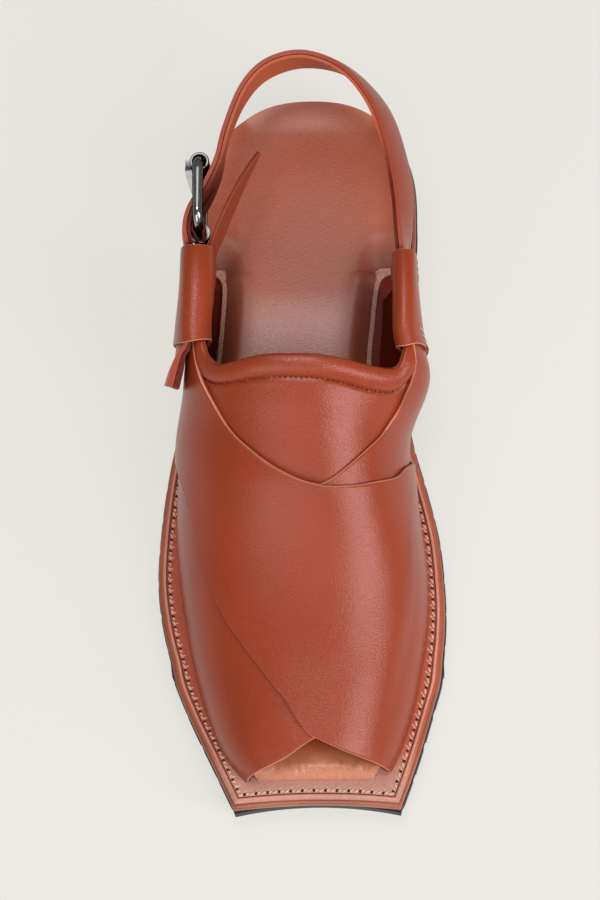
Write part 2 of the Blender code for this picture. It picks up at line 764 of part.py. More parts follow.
def build_heel_strap(look):
    """From inside the medial keeper round the heel, through the buckle and the lateral keeper."""
    lines = [
        wing_line(MEDIAL, ahead, STRAP_INSIDE, MEDIAL_RISES) for ahead in STRAP_IN_MEDIAL_KEEPER
    ]
    lines += [free_line(row) for row in STRAP_ROUND_HEEL]
    lines += [
        wing_line(LATERAL, ahead, STRAP_OUTSIDE, LATERAL_RISES) for ahead in STRAP_IN_LATERAL_KEEPER
    ]
    lines += [free_line(row) for row in STRAP_TAIL]
    strap = band("heel_strap", look, lines, steps(0, 1, 54), steps(0, 1, 4), STRAP)
    low = (FRAME_X - CUT_REACH, HEEL_TREAD - STRAP_HOLE_END, FRAME_Z - STRAP_HOLE / 2)
    high = (FRAME_X + CUT_REACH, HEEL_TREAD - STRAP_HOLE_START, FRAME_Z + STRAP_HOLE / 2)
    combine(strap, box("strap_hole", low, high), "DIFFERENCE")


def build_buckle_frame(look):
    """A bar bent to an oblong with round corners, upright along the foot and widest at the back."""
    half_length, half_height = FRAME_LENGTH / 2 - FRAME_CORNER, FRAME_HEIGHT / 2 - FRAME_CORNER
    middle = FRAME_BACK + FRAME_LENGTH / 2
    corner_steps = 5

    def place(turn, angle):
        quarter, step = divmod(round(turn * 4 * corner_steps), corner_steps)
        swing = (quarter + step / (corner_steps - 1)) * math.pi / 2
        front = 1 if quarter in (0, 3) else -1
        top = 1 if quarter in (0, 1) else -1
        roll = 2 * math.pi * angle
        reach = FRAME_CORNER + BAR / 2 * math.cos(roll)
        ahead = middle + front * half_length + reach * math.cos(swing)
        up = top * half_height + reach * math.sin(swing)
        half_width = mix(BACK_BAR, BAR, (ahead - FRAME_BACK) / FRAME_LENGTH) / 2
        return FRAME_X + half_width * math.sin(roll), HEEL_TREAD - ahead, FRAME_Z + up

    ring("buckle_frame", look, 4 * corner_steps, 8, place)


def build_buckle_roller(look):
    """A sleeve on the frame's back bar."""
    inner, outer = BACK_BAR / 2 + GAP, ROLLER / 2
    corners = ((inner, -1), (outer, -1), (outer, 1), (inner, 1))

    def place(turn, angle):
        reach, end = corners[round(4 * angle) % 4]
        swing = 2 * math.pi * turn
        return (
            FRAME_X + reach * math.cos(swing),
            HEEL_TREAD - FRAME_BACK + reach * math.sin(swing),
            FRAME_Z + end * ROLLER_LENGTH / 2,
        )

    ring("buckle_roller", look, 16, 4, place)


def round_front_bar(start, end, step):
    """(x, ahead) places just off the frame's front bar, from one angle to another."""
    reach = BAR / 2 + GAP
    return [
        (
            FRAME_X + reach * math.cos(math.radians(angle)),
            FRAME_BACK + FRAME_LENGTH + reach * math.sin(math.radians(angle)),
        )
        for angle in range(start, end, step)
    ]


def build_buckle_prong(look):
    """A flat bar hinged on the frame's front bar, through the strap to the roller's outer side."""
    front = FRAME_BACK + FRAME_LENGTH
    rest = FRAME_X - ROLLER / 2 - GAP - PRONG
    route = round_front_bar(150, -91, -30)
    route += [(FRAME_X - outward, front - behind) for outward, behind in PRONG_BENDS]
    route += [(rest, front - PRONG_LEVEL), (rest, FRAME_BACK), (rest, FRAME_BACK - PRONG_TIP)]

    def at(grow):
        def point(place, across):
            i = round(place)
            before, after = route[max(0, i - 1)], route[min(len(route) - 1, i + 1)]
            turn = (Vector(after) - Vector(before)).normalized()
            x, ahead = Vector(route[i]) + Vector((-turn.y, turn.x)) * grow
            return x, HEEL_TREAD - ahead, FRAME_Z + across * PRONG_WIDTH / 2

        return point

    shell("buckle_prong", look, range(len(route)), [-1, 1], at(0.0), at(PRONG))


def build_buckle_chape(look):
    """A leather loop round the frame's front bar, its ends held together inside the keeper."""
    half = (CHAPE + CHAPE_PART) / 2
    inner = [wing_line(LATERAL, ahead, CHAPE_LIFT - half, CHAPE_RISES) for ahead in CHAPE_LEGS]
    outer = [wing_line(LATERAL, ahead, CHAPE_LIFT + half, CHAPE_RISES) for ahead in CHAPE_LEGS]
    swell = (BAR / 2 + GAP + CHAPE / 2) / (BAR / 2 + GAP)
    front = FRAME_BACK + FRAME_LENGTH
    low, high = FRAME_Z - CHAPE_WIDTH / 2, FRAME_Z + CHAPE_WIDTH / 2
    loop = []
    for x, ahead in round_front_bar(40, -221, -26):
        x, ahead = mix(FRAME_X, x, swell), mix(front, ahead, swell)
        loop.append(free_line(Row(x, ahead, high, x, ahead, low)))
    lines = inner + loop + outer[::-1]
    chape = band("buckle_chape", look, lines, steps(0, 1, len(lines) - 1), [0, 0.5, 1], CHAPE)
    corner = (FRAME_X - CUT_REACH, HEEL_TREAD - front - 5, FRAME_Z - PRONG_SLOT / 2)
    opposite = (FRAME_X + CUT_REACH, HEEL_TREAD - front + 5, FRAME_Z + PRONG_SLOT / 2)
    combine(chape, box("chape_slot", corner, opposite), "DIFFERENCE")


def build_underlay_tab(look):
    """A pointed tab that keeps the buckle off the foot, held inside the keeper."""
    lines = [wing_line(LATERAL, ahead, TAB_LIFT, TAB_RISES) for ahead in TAB_LEGS]
    lines += [free_line(row) for row in TAB_BEYOND_KEEPER]
    band("underlay_tab", look, lines, steps(0, 1, 22), [0, 0.5, 1], TAB)


def build_all():
    clear_scene()
    rubber = material("black_rubber", (0.035, 0.035, 0.038), 0.75)
    board = material("tan_board", (0.50, 0.22, 0.13), 0.5)
    welt = material("welt_leather", (0.45, 0.19, 0.13), 0.5)
    lining = material("footbed_leather", (0.38, 0.15, 0.11), 0.55)
    leather = material("upper_leather", (0.32, 0.06, 0.03), 0.4)
    steel = material("dark_nickel", (0.25, 0.25, 0.26), 0.2, 1.0)
    build_outsole(rubber)
    build_heel_block(rubber)
    build_midsole(board)
    build_topsole(welt)
    build_footbed(lining)
    build_upper(leather)
    build_tongue(leather)
    build_keeper("keeper_medial", leather, MEDIAL, MEDIAL_KEEPER, MEDIAL_CUT, MEDIAL_WRAP, (4, 20))
    build_keeper("keeper_lateral", leather, LATERAL, LATERAL_KEEPER, LATERAL_CUT, LATERAL_WRAP, (4, 24))
    build_heel_strap(leather)
    build_buckle_frame(steel)
    build_buckle_roller(steel)
    build_buckle_prong(steel)
    build_buckle_chape(leather)
    build_underlay_tab(leather)


build_all()
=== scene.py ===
"""Peshawari chappal for the right foot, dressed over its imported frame.

The shoe's sizes are millimetres, and MM turns them into Blender's metres. +X is the foot's inner
(medial) side, -Y the toe and +Z up. The origin is on the floor, under the middle of the heel's tread.

"ahead" is how far a place lies in front of the heel's back end. On the upper, "girth" runs from 0
at the sole's outer (lateral) edge, over the instep, to 1 at its inner edge, and "lift" is the
height above the last, the foot-shaped form that the upper is pulled over.
"""

import math
from collections import namedtuple
from functools import cache

import bmesh
import bpy
from mathutils import Matrix, Vector, noise


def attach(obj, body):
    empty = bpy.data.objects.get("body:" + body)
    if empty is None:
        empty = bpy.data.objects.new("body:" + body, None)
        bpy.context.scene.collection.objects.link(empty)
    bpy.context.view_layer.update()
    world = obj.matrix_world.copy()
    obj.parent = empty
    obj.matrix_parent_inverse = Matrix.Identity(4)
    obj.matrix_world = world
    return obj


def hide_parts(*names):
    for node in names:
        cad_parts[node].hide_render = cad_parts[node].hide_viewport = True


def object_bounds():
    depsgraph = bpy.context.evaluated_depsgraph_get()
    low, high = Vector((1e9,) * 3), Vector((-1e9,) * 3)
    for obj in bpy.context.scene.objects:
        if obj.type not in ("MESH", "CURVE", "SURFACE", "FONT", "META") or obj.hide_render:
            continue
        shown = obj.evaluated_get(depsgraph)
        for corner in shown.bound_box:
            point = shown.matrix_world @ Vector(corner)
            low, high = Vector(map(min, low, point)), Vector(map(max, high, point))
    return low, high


bl_info = {
    "name": "Peshawari Chappal",
    "version": (1, 0, 0),
    "blender": (4, 5, 0),
    "location": "3D View > Sidebar > Chappal",
    "description": "Builds a leather chappal with crossed panels, stitched welt and buckled strap",
    "category": "Add Mesh",
}

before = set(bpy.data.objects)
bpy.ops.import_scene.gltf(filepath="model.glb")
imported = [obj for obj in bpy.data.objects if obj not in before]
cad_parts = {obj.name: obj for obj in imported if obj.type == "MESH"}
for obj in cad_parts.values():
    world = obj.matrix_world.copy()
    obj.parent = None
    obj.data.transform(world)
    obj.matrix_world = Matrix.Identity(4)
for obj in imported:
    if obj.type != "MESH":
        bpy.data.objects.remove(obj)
CAD_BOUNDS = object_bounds()

MM = 0.001
GAP = 0.3
MERGE = 1e-6
LATERAL, MEDIAL = -1, 1

# Sole, from the floor up
HEEL_TREAD = 38.0
HEEL_HALF_WIDTH = 42.0
HEEL_MIDDLE = 0.7
HEEL_ROUND = 44.0
HEEL_SQUARENESS = 2.35
HEEL_SHOULDER = 12.0
HEEL_BREAST = 77.0
HEEL_LIFT = 15.0
WAIST_START, WAIST_END = 80.0, 165.0
TOE_SPRING_START, TOE_SPRING_RUN, TOE_SPRING = 225.0, 60.0, 9.0
OUTSOLE, MIDSOLE, TOPSOLE = 6.5, 4.0, 3.0
OUTSOLE_END, MIDSOLE_END, TOPSOLE_END = 284.6, 283.2, 281.6
OUTSOLE_DISH, MIDSOLE_DISH, TOPSOLE_DISH = 3.6, 2.2, 1.7
MIDSOLE_INSET, TOPSOLE_INSET = 1.0, 1.7
TOE_LIP_START, TOE_LIP, TOE_LIP_RUN, TOE_FLARE, TOE_FLARE_RUN = 222.0, 1.2, 8.0, 1.3, 14.0
BAR_PITCH, GROOVE_WIDTH, GROOVE_DEPTH, GROOVE_SLOPE = 13.0, 3.4, 2.4, 0.5
HEEL_INSET, BREAST_HOLLOW_START, BREAST_HOLLOW = 0.6, 60.0, 3.0

# Footbed
FOOTBED, CUP_RISE, CUP_RIM = 4.6, 1.8, 15.0
CUP_FADE_START, CUP_FADE_END = 60.0, 105.0
NOTCH = 72.5
FOOTBED_BEVEL, FOOTBED_END, FOOTBED_LIP = 266.0, 272.5, 1.2

# Upper leathers
PANEL, TONGUE, STRAP, KEEPER, TAB = 1.8, 1.6, 3.0, 1.4, 1.4
PANEL_LIFT = TONGUE + 1.5 * GAP
CROSSING_LIFT, THROAT_EASE, TOE_EASE = 1.9, 22.0, 60.0
# The over panel crosses the under panel's throat edge below the first girth, and the crossing
# fades over the second as the over panel comes down to its inner foot.
LATERAL_GIRTH, FOOT_GIRTH = 0.47, 0.1
STRAP_HEIGHT = 21.5
STRAP_INSIDE = -0.3
STRAP_OUTSIDE = PANEL_LIFT + PANEL + 1.2 * GAP + STRAP / 2

# Buckle
BAR, BACK_BAR = 3.4, 4.6
FRAME_LENGTH, FRAME_HEIGHT, FRAME_CORNER = 27.6, 26.0, 6.5
FRAME_X, FRAME_BACK, FRAME_Z = -39.7, 44.0, 75.6
ROLLER, ROLLER_LENGTH = 7.6, 11.0
PRONG_WIDTH, PRONG, PRONG_LEVEL, PRONG_TIP = 2.6, 1.6, 25.0, 2.5
# (outward, behind) of the prong's bends from the middle of the front bar
PRONG_BENDS = ((0.6, 4.5), (1.2, 9.0), (2.4, 14.0), (4.0, 19.0))
PRONG_SWELL, PRONG_TAPER, PRONG_TAPER_START = 0.4, 0.6, 0.8
CHAPE, CHAPE_WIDTH, CHAPE_LIFT = 0.8, 15.0, 0.7
CHAPE_LEGS, CHAPE_RISES, CHAPE_PART = (90.0, 84.0, 78.0), (-1.5, -16.5), 0.1
TAB_LIFT, TAB_LEGS, TAB_RISES = -1.2, (92.0, 86.0, 80.0), (-0.5, -19.5)
STRAP_HOLE, STRAP_HOLE_START, STRAP_HOLE_END = 5.0, 53.0, 67.5


def table_of(kind, *rows):
    """A table whose rows are all of one kind, each given as its values."""
    return tuple(kind(*values) for values in rows)


# Half widths of the sole and of the footbed, from the middle line to each side
SoleStation = namedtuple("SoleStation", "ahead lateral medial")
SOLE = table_of(
    SoleStation,
    (44, 41.3, 42.7), (58, 41.2, 42.6), (72, 40.8, 41.2), (95, 41.8, 38.6), (115, 46.4, 37.6),
    (135, 53.2, 39.8), (155, 57.4, 45.3), (175, 59.6, 50.0), (192, 60.2, 51.8), (208, 58.5, 52.3),
    (226, 54.1, 50.6), (245, 46.7, 45.5), (265, 37.2, 39.6), (285, 27.7, 32.7),
)
FOOTBED_EDGE = table_of(
    SoleStation,
    (44, 40.0, 41.2), (58, 39.8, 40.6), (70, 38.6, 38.1), (72.2, 37.7, 36.0), (73.4, 35.9, 30.9),
    (76, 34.4, 28.2), (80, 34.0, 27.2), (92, 34.8, 25.8), (110, 36.9, 24.2), (122, 39.9, 26.6),
    (135, 43.8, 31.0), (150, 46.7, 34.4), (168, 48.3, 38.1), (192, 47.6, 41.9), (208, 45.4, 41.9),
    (226, 41.9, 39.4), (245, 36.4, 35.2), (262, 28.3, 29.3), (273, 19.6, 23.6),
)

# Cross sections of the last: its foot on each side, its crest, how far its flanks swell
Section = namedtuple(
    "Section", "ahead lateral medial crest crest_z swell_lateral swell_medial fullness"
)
LAST = table_of(
    Section,
    (76, 33.0, 27.5, -2.0, 118.0, 9.0, 15.0, 0.58), (95, 33.6, 26.5, -1.0, 109.0, 10.0, 17.5, 0.58),
    (112, 36.5, 25.5, 0.0, 99.3, 10.0, 21.0, 0.60), (126, 41.0, 27.8, 1.0, 90.8, 7.5, 23.0, 0.68),
    (145, 45.7, 33.2, 2.0, 80.6, 3.0, 6.0, 0.78), (168, 48.0, 37.6, 3.5, 69.5, 1.0, 1.0, 0.82),
    (192, 47.2, 41.7, 4.0, 57.5, 0.0, 0.0, 0.84), (208, 45.0, 41.7, 4.0, 50.8, 0.0, 0.0, 0.82),
    (226, 41.6, 39.3, 3.8, 45.2, 0.0, 0.0, 0.79), (245, 36.2, 35.3, 3.4, 41.0, 0.0, 0.0, 0.75),
    (262, 28.9, 29.9, 3.0, 37.6, 0.0, 0.0, 0.72), (274, 18.5, 23.8, 2.6, 34.8, 0.0, 0.0, 0.70),
)

# A strip of leather on the last: each rib runs from its throat edge to its toe edge.
Rib = namedtuple("Rib", "throat throat_girth toe toe_girth")
OVER_PANEL = table_of(
    Rib,
    (146.0, 1.00, 268.2, 1.00), (152.5, 0.90, 268.2, 0.88), (157.8, 0.815, 267.6, 0.77),
    (163.3, 0.752, 266.2, 0.66), (166.8, 0.662, 263.6, 0.560), (168.8, 0.584, 258.6, 0.490),
    (168.6, 0.510, 244.6, 0.433), (163.3, 0.448, 230.3, 0.363), (156.3, 0.394, 214.4, 0.289),
    (147.8, 0.341, 201.0, 0.251), (136.6, 0.298, 183.0, 0.215), (125.6, 0.262, 169.0, 0.190),
    (114.2, 0.240, 158.0, 0.145), (100.0, 0.220, 151.0, 0.095), (86.0, 0.198, 147.0, 0.050),
    (79.5, 0.165, 144.0, 0.020), (78.0, 0.080, 142.0, 0.005), (80.0, 0.000, 140.0, 0.000),
)
UNDER_PANEL = table_of(
    Rib,
    (138.0, 0.00, 271.0, 0.00), (146.0, 0.12, 270.8, 0.08), (158.7, 0.253, 269.8, 0.264),
    (163.3, 0.304, 267.3, 0.400), (167.8, 0.391, 262.4, 0.478), (169.6, 0.464, 256.0, 0.520),
    (168.0, 0.524, 244.6, 0.567), (162.6, 0.586, 230.3, 0.637), (156.0, 0.651, 214.4, 0.711),
    (148.9, 0.711, 201.0, 0.749), (140.0, 0.745, 180.0, 0.793), (130.5, 0.739, 168.0, 0.815),
    (119.0, 0.737, 158.0, 0.855), (106.0, 0.759, 151.0, 0.900), (92.0, 0.786, 147.0, 0.945),
    (86.0, 0.815, 149.0, 0.980), (83.0, 0.900, 150.0, 0.995), (83.5, 1.000, 150.0, 1.000),
)
TONGUE_RIBS = table_of(
    Rib,
    (94.0, 0.205, 94.0, 0.135), (105.0, 0.236, 108.0, 0.135), (115.1, 0.262, 122.0, 0.135),
    (121.5, 0.284, 138.0, 0.150), (125.4, 0.322, 152.0, 0.195), (125.5, 0.376, 166.0, 0.280),
    (124.8, 0.440, 176.0, 0.380), (125.1, 0.501, 180.0, 0.480), (126.2, 0.568, 178.0, 0.580),
    (127.8, 0.640, 168.0, 0.690), (127.0, 0.693, 156.0, 0.770), (122.5, 0.712, 143.0, 0.820),
    (114.0, 0.740, 128.0, 0.850), (104.0, 0.764, 111.0, 0.870), (94.0, 0.782, 94.0, 0.870),
)

# Where the wings' top edges lie inside the keepers
WingTop = namedtuple("WingTop", "ahead lateral medial")
WING_TOP = table_of(
    WingTop,
    (70, 0.165, 0.835), (86, 0.198, 0.799), (100, 0.220, 0.772), (114, 0.240, 0.745),
    (126, 0.262, 0.735), (140, 0.308, 0.745),
)
# A keeper's inner face in section: rise above the wing's top edge, and lift over the last
Bend = namedtuple("Bend", "rise lift")
MEDIAL_WRAP = table_of(
    Bend,
    (-16.0, -2.3), (-8.0, -2.3), (0.0, -2.3), (2.8, -1.5), (3.9, 0.9), (2.8, 3.1), (0.0, 4.0),
    (-9.0, 4.0), (-19.0, 4.0),
)
LATERAL_WRAP = table_of(
    Bend,
    (-16.0, -2.3), (-8.0, -2.4), (0.0, -2.4), (3.4, -1.0), (4.8, 2.5), (3.4, 6.2), (0.0, 7.6),
    (-10.0, 7.6), (-20.5, 7.6), (-23.5, 6.4), (-25.4, 4.6), (-29.0, 4.1),
)
MEDIAL_KEEPER = (82.0, 119.5)
LATERAL_KEEPER = (79.0, 115.5)
# How far a keeper's front edge is cut back down its outer wall
MEDIAL_CUT, LATERAL_CUT = 1.5, 4.2
CUT_START, CUT_RUN = 0.5, 0.3

# Where the strap lies along a wing: how far ahead, and the rises of its two edges
STRAP_IN_MEDIAL_KEEPER, MEDIAL_RISES = (93.0, 87.0), (0.0, 0.6 - STRAP_HEIGHT)
STRAP_IN_LATERAL_KEEPER, LATERAL_RISES = (79.5, 92.0, 104.0, 115.0), (0.5, 0.8 - STRAP_HEIGHT)

# A straight row across a strap's middle surface, from its top edge to its lower edge
Row = namedtuple("Row", "top_x top_ahead top_z low_x low_ahead low_z")
STRAP_ROUND_HEEL = table_of(
    Row,
    (35.9, 74.0, 83.8, 38.6, 72.5, 64.0), (34.8, 60.0, 88.0, 40.6, 58.0, 67.0),
    (31.8, 43.5, 91.0, 38.4, 41.0, 70.0), (25.6, 25.5, 93.3, 31.6, 21.0, 72.2),
    (15.2, 12.6, 95.0, 18.2, 6.4, 73.6), (0.8, 6.8, 96.0, 0.8, 2.2, 74.2),
    (-12.8, 9.6, 95.6, -14.6, 6.8, 73.8), (-22.0, 18.6, 94.2, -24.2, 17.4, 72.4),
    (-28.4, 33.0, 91.0, -30.8, 33.0, 69.5), (-32.0, 45.0, 87.6, -33.4, 45.0, 66.2),
    (-36.6, 55.0, 86.0, -37.4, 55.0, 64.6), (-42.2, 64.0, 85.6, -42.7, 64.0, 64.3),
    (-44.2, 71.5, 84.0, -44.7, 71.5, 63.0),
)
STRAP_TAIL = table_of(
    Row,
    (-46.4, 120.5, 75.2, -49.6, 118.6, 53.6), (-49.8, 131.0, 70.0, -52.2, 125.4, 51.4),
)
TAB_BEYOND_KEEPER = table_of(
    Row,
    (-34.5, 75.0, 81.4, -34.5, 75.0, 62.6), (-31.9, 68.5, 82.2, -31.9, 68.5, 63.0),
    (-28.4, 60.5, 82.6, -28.4, 60.5, 65.0), (-23.6, 51.0, 82.2, -23.6, 51.0, 70.0),
    (-19.0, 43.0, 80.6, -19.0, 43.0, 74.6), (-16.9, 39.6, 78.8, -16.9, 39.6, 77.6),
)


def steps(start, end, count):
    """Evenly spaced values from start to end, with both of them."""
    return [start + (end - start) * i / count for i in range(count + 1)]


def mix(a, b, share):
    return a + (b - a) * share


def clamp(value):
    return min(1.0, max(0.0, value))


def ease(share):
    """From 0 to 1 with a soft start and a soft end."""
    share = clamp(share)
    return share * share * (3 - 2 * share)


def curve_weights(left, span, right, share):
    """How much each of four neighbouring rows counts between the middle two, for a smooth curve."""
    square, cube = share**2, share**3
    into = (cube - 2 * square + share) * span / (left + span)
    out = (cube - square) * span / (span + right)
    return -into, 2 * cube - 3 * square + 1 - out, 3 * square - 2 * cube + into, out


def weighed(rows, weights):
    """Each column's sum, with every row counted by its weight."""
    return [sum(w * v for w, v in zip(weights, column)) for column in zip(*rows)]


def near_rows(rows, i):
    """Row i and the next one, with one more row on each side as far as there is one."""
    last = len(rows) - 1
    return rows[max(0, i - 1)], rows[i], rows[i + 1], rows[min(last, i + 2)]


def row_at(table, ahead):
    """The row of a table at this distance ahead, smooth through its rows."""
    i = 0
    while i < len(table) - 2 and ahead > table[i + 1].ahead:
        i += 1
    rows = near_rows(table, i)
    widths = [b.ahead - a.ahead for a, b in zip(rows, rows[1:])]
    weights = curve_weights(*widths, (ahead - rows[1].ahead) / widths[1])
    return type(rows[0])(*weighed(rows, weights))


def along_rows(count, share):
    """Which row a share of the way through the rows follows, and its neighbours' weights."""
    place = clamp(share) * (count - 1)
    i = min(int(place), count - 2)
    return i, curve_weights(1.0 if i else 0.0, 1.0, 1.0 if i + 2 < count else 0.0, place - i)


def blend(rows, share):
    """The row at this share of the way through the rows, smooth through each of them."""
    i, weights = along_rows(len(rows), share)
    return type(rows[0])(*weighed(near_rows(rows, i), weights))


# The sole's layers


def ground(ahead):
    """Height of the outsole's tread over the floor: heel lift, arch, flat forefoot, toe spring."""
    arch = HEEL_LIFT * ease((WAIST_END - ahead) / (WAIST_END - WAIST_START))
    spring = TOE_SPRING * max(0.0, (ahead - TOE_SPRING_START) / TOE_SPRING_RUN) ** 2
    return arch + spring


def midsole_base(ahead):
    return ground(ahead) + OUTSOLE + GAP


def topsole_base(ahead):
    return midsole_base(ahead) + MIDSOLE + GAP


def welt_top(ahead):
    return topsole_base(ahead) + TOPSOLE


def half_width(side, ahead, table):
    """Half width of the sole or the footbed on one side."""
    row = row_at(table, ahead)
    return row.lateral if side == LATERAL else row.medial


def heel_curve(x, inset):
    """How far ahead the heel's back edge lies at this x."""
    across = min(1.0, abs(x - HEEL_MIDDLE) / (HEEL_HALF_WIDTH - inset))
    depth = (1 - across**HEEL_SQUARENESS) ** (1 / HEEL_SQUARENESS)
    return HEEL_ROUND - (HEEL_ROUND - inset) * depth


def sole_edge(side, ahead, inset):
    """x of a sole layer's edge."""
    if ahead <= HEEL_ROUND:
        back = min(1.0, (HEEL_ROUND - ahead) / (HEEL_ROUND - inset))
        reach = (1 - back**HEEL_SQUARENESS) ** (1 / HEEL_SQUARENESS)
        return HEEL_MIDDLE + side * (HEEL_HALF_WIDTH - inset) * reach
    width = half_width(side, ahead, SOLE)
    slope = half_width(side, ahead + 1, SOLE) - width
    return side * (width - inset * math.hypot(1, slope))


def bow(row, across, inset):
    """How far the rows behind the heel's shoulder curve back to follow the heel."""
    fade = 1 - (row - HEEL_SHOULDER) / (HEEL_ROUND - HEEL_SHOULDER)
    if fade <= 0:
        return 0.0
    left = sole_edge(LATERAL, HEEL_SHOULDER, inset)
    right = sole_edge(MEDIAL, HEEL_SHOULDER, inset)
    return fade * (HEEL_SHOULDER - heel_curve(mix(left, right, across), inset))


def front_hollow(row, across, end, dish):
    """How far a layer's front is hollowed back between its corners."""
    hollow = ease((row - TOE_SPRING_START) / (end - TOE_SPRING_START))
    return hollow * dish * (1 - (2 * across - 1) ** 2)


def layer_point(row, across, inset, end, dish):
    """(x, ahead) on a layer, whose front edge is hollowed by dish between its corners."""
    x = mix(sole_edge(LATERAL, row, inset), sole_edge(MEDIAL, row, inset), across)
    return x, row - bow(row, across, inset) - front_hollow(row, across, end, dish)


SIDE_POINTS, HEEL_POINTS, FRONT_POINTS = 120, 56, 32


def outline(inset, end, dish):
    """A closed line round a sole layer, as (x, ahead): lateral side, heel, medial side, front."""
    front = end - inset
    side_rows = steps(front, HEEL_ROUND, SIDE_POINTS)

    def side_point(side, row):
        return sole_edge(side, row, inset - TOE_FLARE * ease((row - TOE_LIP_START) / TOE_FLARE_RUN)), row

    lateral = [side_point(LATERAL, row) for row in side_rows[:-1]]
    heel = []
    for angle in steps(0, math.pi, HEEL_POINTS):
        across, back = math.cos(angle), math.sin(angle)
        reach = math.copysign(abs(across) ** (2 / HEEL_SQUARENESS), across)
        depth = (HEEL_ROUND - inset) * back ** (2 / HEEL_SQUARENESS)
        x = HEEL_MIDDLE - (HEEL_HALF_WIDTH - inset) * reach
        heel.append((x, HEEL_ROUND - depth))
    medial = [side_point(MEDIAL, row) for row in side_rows[-2::-1]]
    left, right = lateral[0][0], medial[-1][0]
    across_front = []
    for across in steps(1, 0, FRONT_POINTS)[1:-1]:
        hollow = front_hollow(front, across, end, dish)
        across_front.append((mix(left, right, across), front - hollow))
    return lateral + heel + medial + across_front


def footbed_edge(side, ahead):
    """x of the footbed's edge."""
    if ahead <= HEEL_ROUND:
        return sole_edge(side, ahead, TOPSOLE_INSET)
    return side * half_width(side, ahead, FOOTBED_EDGE)


def footbed_point(row, across):
    x = mix(footbed_edge(LATERAL, row), footbed_edge(MEDIAL, row), across)
    return x, row - bow(row, across, TOPSOLE_INSET)


# The last and what is wrapped round it

ARCH_FULLNESS = 0.95


def last_skin(row, girth):
    """A point on the last, in this Section of it: a rounded arch whose foot stands on the welt."""
    side = MEDIAL if girth > 0.5 else LATERAL
    half, swell = (
        (row.medial - row.crest, row.swell_medial)
        if side == MEDIAL
        else (row.lateral + row.crest, row.swell_lateral)
    )
    angle = math.pi * (1 - girth if side == MEDIAL else girth)
    half += swell * math.sin(2 * angle)
    base = welt_top(row.ahead) + GAP
    rise = (row.crest_z - base) * max(0.0, math.sin(angle)) ** ARCH_FULLNESS
    reach = half * max(0.0, math.cos(angle)) ** row.fullness
    return Vector((row.crest + side * reach, HEEL_TREAD - row.ahead, base + rise))


def last_frame(ahead, girth):
    """A point on the last, the way round it and the way out of it."""
    step, near = 0.004, 0.5
    row = row_at(LAST, ahead)
    round_it = last_skin(row, min(1.0, girth + step)) - last_skin(row, max(0.0, girth - step))
    back, front = row_at(LAST, ahead - near), row_at(LAST, ahead + near)
    outward = round_it.cross(last_skin(back, girth) - last_skin(front, girth)).normalized()
    return last_skin(row, girth), round_it, outward


def last_point(ahead, girth, lift):
    """The point that stands this far out of the last, never below its foot on the welt."""
    point, _, outward = last_frame(ahead, girth)
    point += outward * lift
    point.z = max(point.z, welt_top(HEEL_TREAD - point.y) + GAP)
    return point


def edge_of(ribs, edge, girth):
    """How far ahead an edge of a strip lies at this girth, straight between its ribs."""
    ends = [(getattr(rib, f"{edge}_girth"), getattr(rib, edge)) for rib in ribs]
    for (g0, a0), (g1, a1) in zip(ends, ends[1:]):
        if min(g0, g1) <= girth <= max(g0, g1) and g0 != g1:
            return mix(a0, a1, (girth - g0) / (g1 - g0))
    return ends[-1][1]


def crossing(ahead, girth):
    """1 where the over panel lies on the under panel, easing to 0 beside it."""
    ahead_of_throat = 1.0
    if girth < LATERAL_GIRTH:
        beyond = ahead - edge_of(UNDER_PANEL, "throat", girth)
        ahead_of_throat = ease(1 + beyond / THROAT_EASE)
    short_of_toe = 1.0
    if girth > 0.5:
        before = edge_of(UNDER_PANEL, "toe", girth) - ahead
        short_of_toe = ease(1 + before / TOE_EASE) * ease((1 - girth) / FOOT_GIRTH)
    return ahead_of_throat * short_of_toe


def rib_place(ribs, along, across):
    """(ahead, girth) at a share along a strip and a share across it, from throat to toe."""
    rib = blend(ribs, along)
    ahead = mix(rib.throat, rib.toe, across)
    return ahead, clamp(mix(rib.throat_girth, rib.toe_girth, across))


def wing_girth(side, ahead, rise):
    """The girth of a place by its rise above the wing's top edge."""
    row = row_at(WING_TOP, ahead)
    top = row.lateral if side == LATERAL else row.medial
    section = row_at(LAST, ahead)
    step = 0.01
    near = last_skin(section, top + step) - last_skin(section, top - step)
    return top - side * rise / (near.length / (2 * step))


def wing_point(side, ahead, rise, lift):
    """A place by its rise above the wing's top edge and its lift over the last."""
    return last_point(ahead, wing_girth(side, ahead, rise), lift)


def free_line(row):
    """The line across a strap at this row, as a function of depth from 0 to 1."""
    top = Vector((row.top_x, HEEL_TREAD - row.top_ahead, row.top_z))
    low = Vector((row.low_x, HEEL_TREAD - row.low_ahead, row.low_z))
    return lambda depth: top.lerp(low, depth)


def wing_line(side, ahead, lift, rises):
    """A line across a strap that lies along a wing, from one rise down to another."""
    return lambda depth: wing_point(side, ahead, mix(*rises, depth), lift)


def middle_surface(lines, along, depth):
    """A point of the smooth surface through these lines."""
    i, weights = along_rows(len(lines), along)
    return Vector(weighed([line(depth) for line in near_rows(lines, i)], weights))


def strap_frame(lines, share, depth):
    """A point of a strap's middle surface, the way along it and the way out of it."""
    step, drop = 0.004, 0.1
    forward = middle_surface(lines, share + step, depth) - middle_surface(lines, share - step, depth)
    down = middle_surface(lines, share, depth + drop) - middle_surface(lines, share, depth - drop)
    return middle_surface(lines, share, depth), forward, down.cross(forward).normalized()


# Meshes, all begun as grids or solids from bmesh's own operators


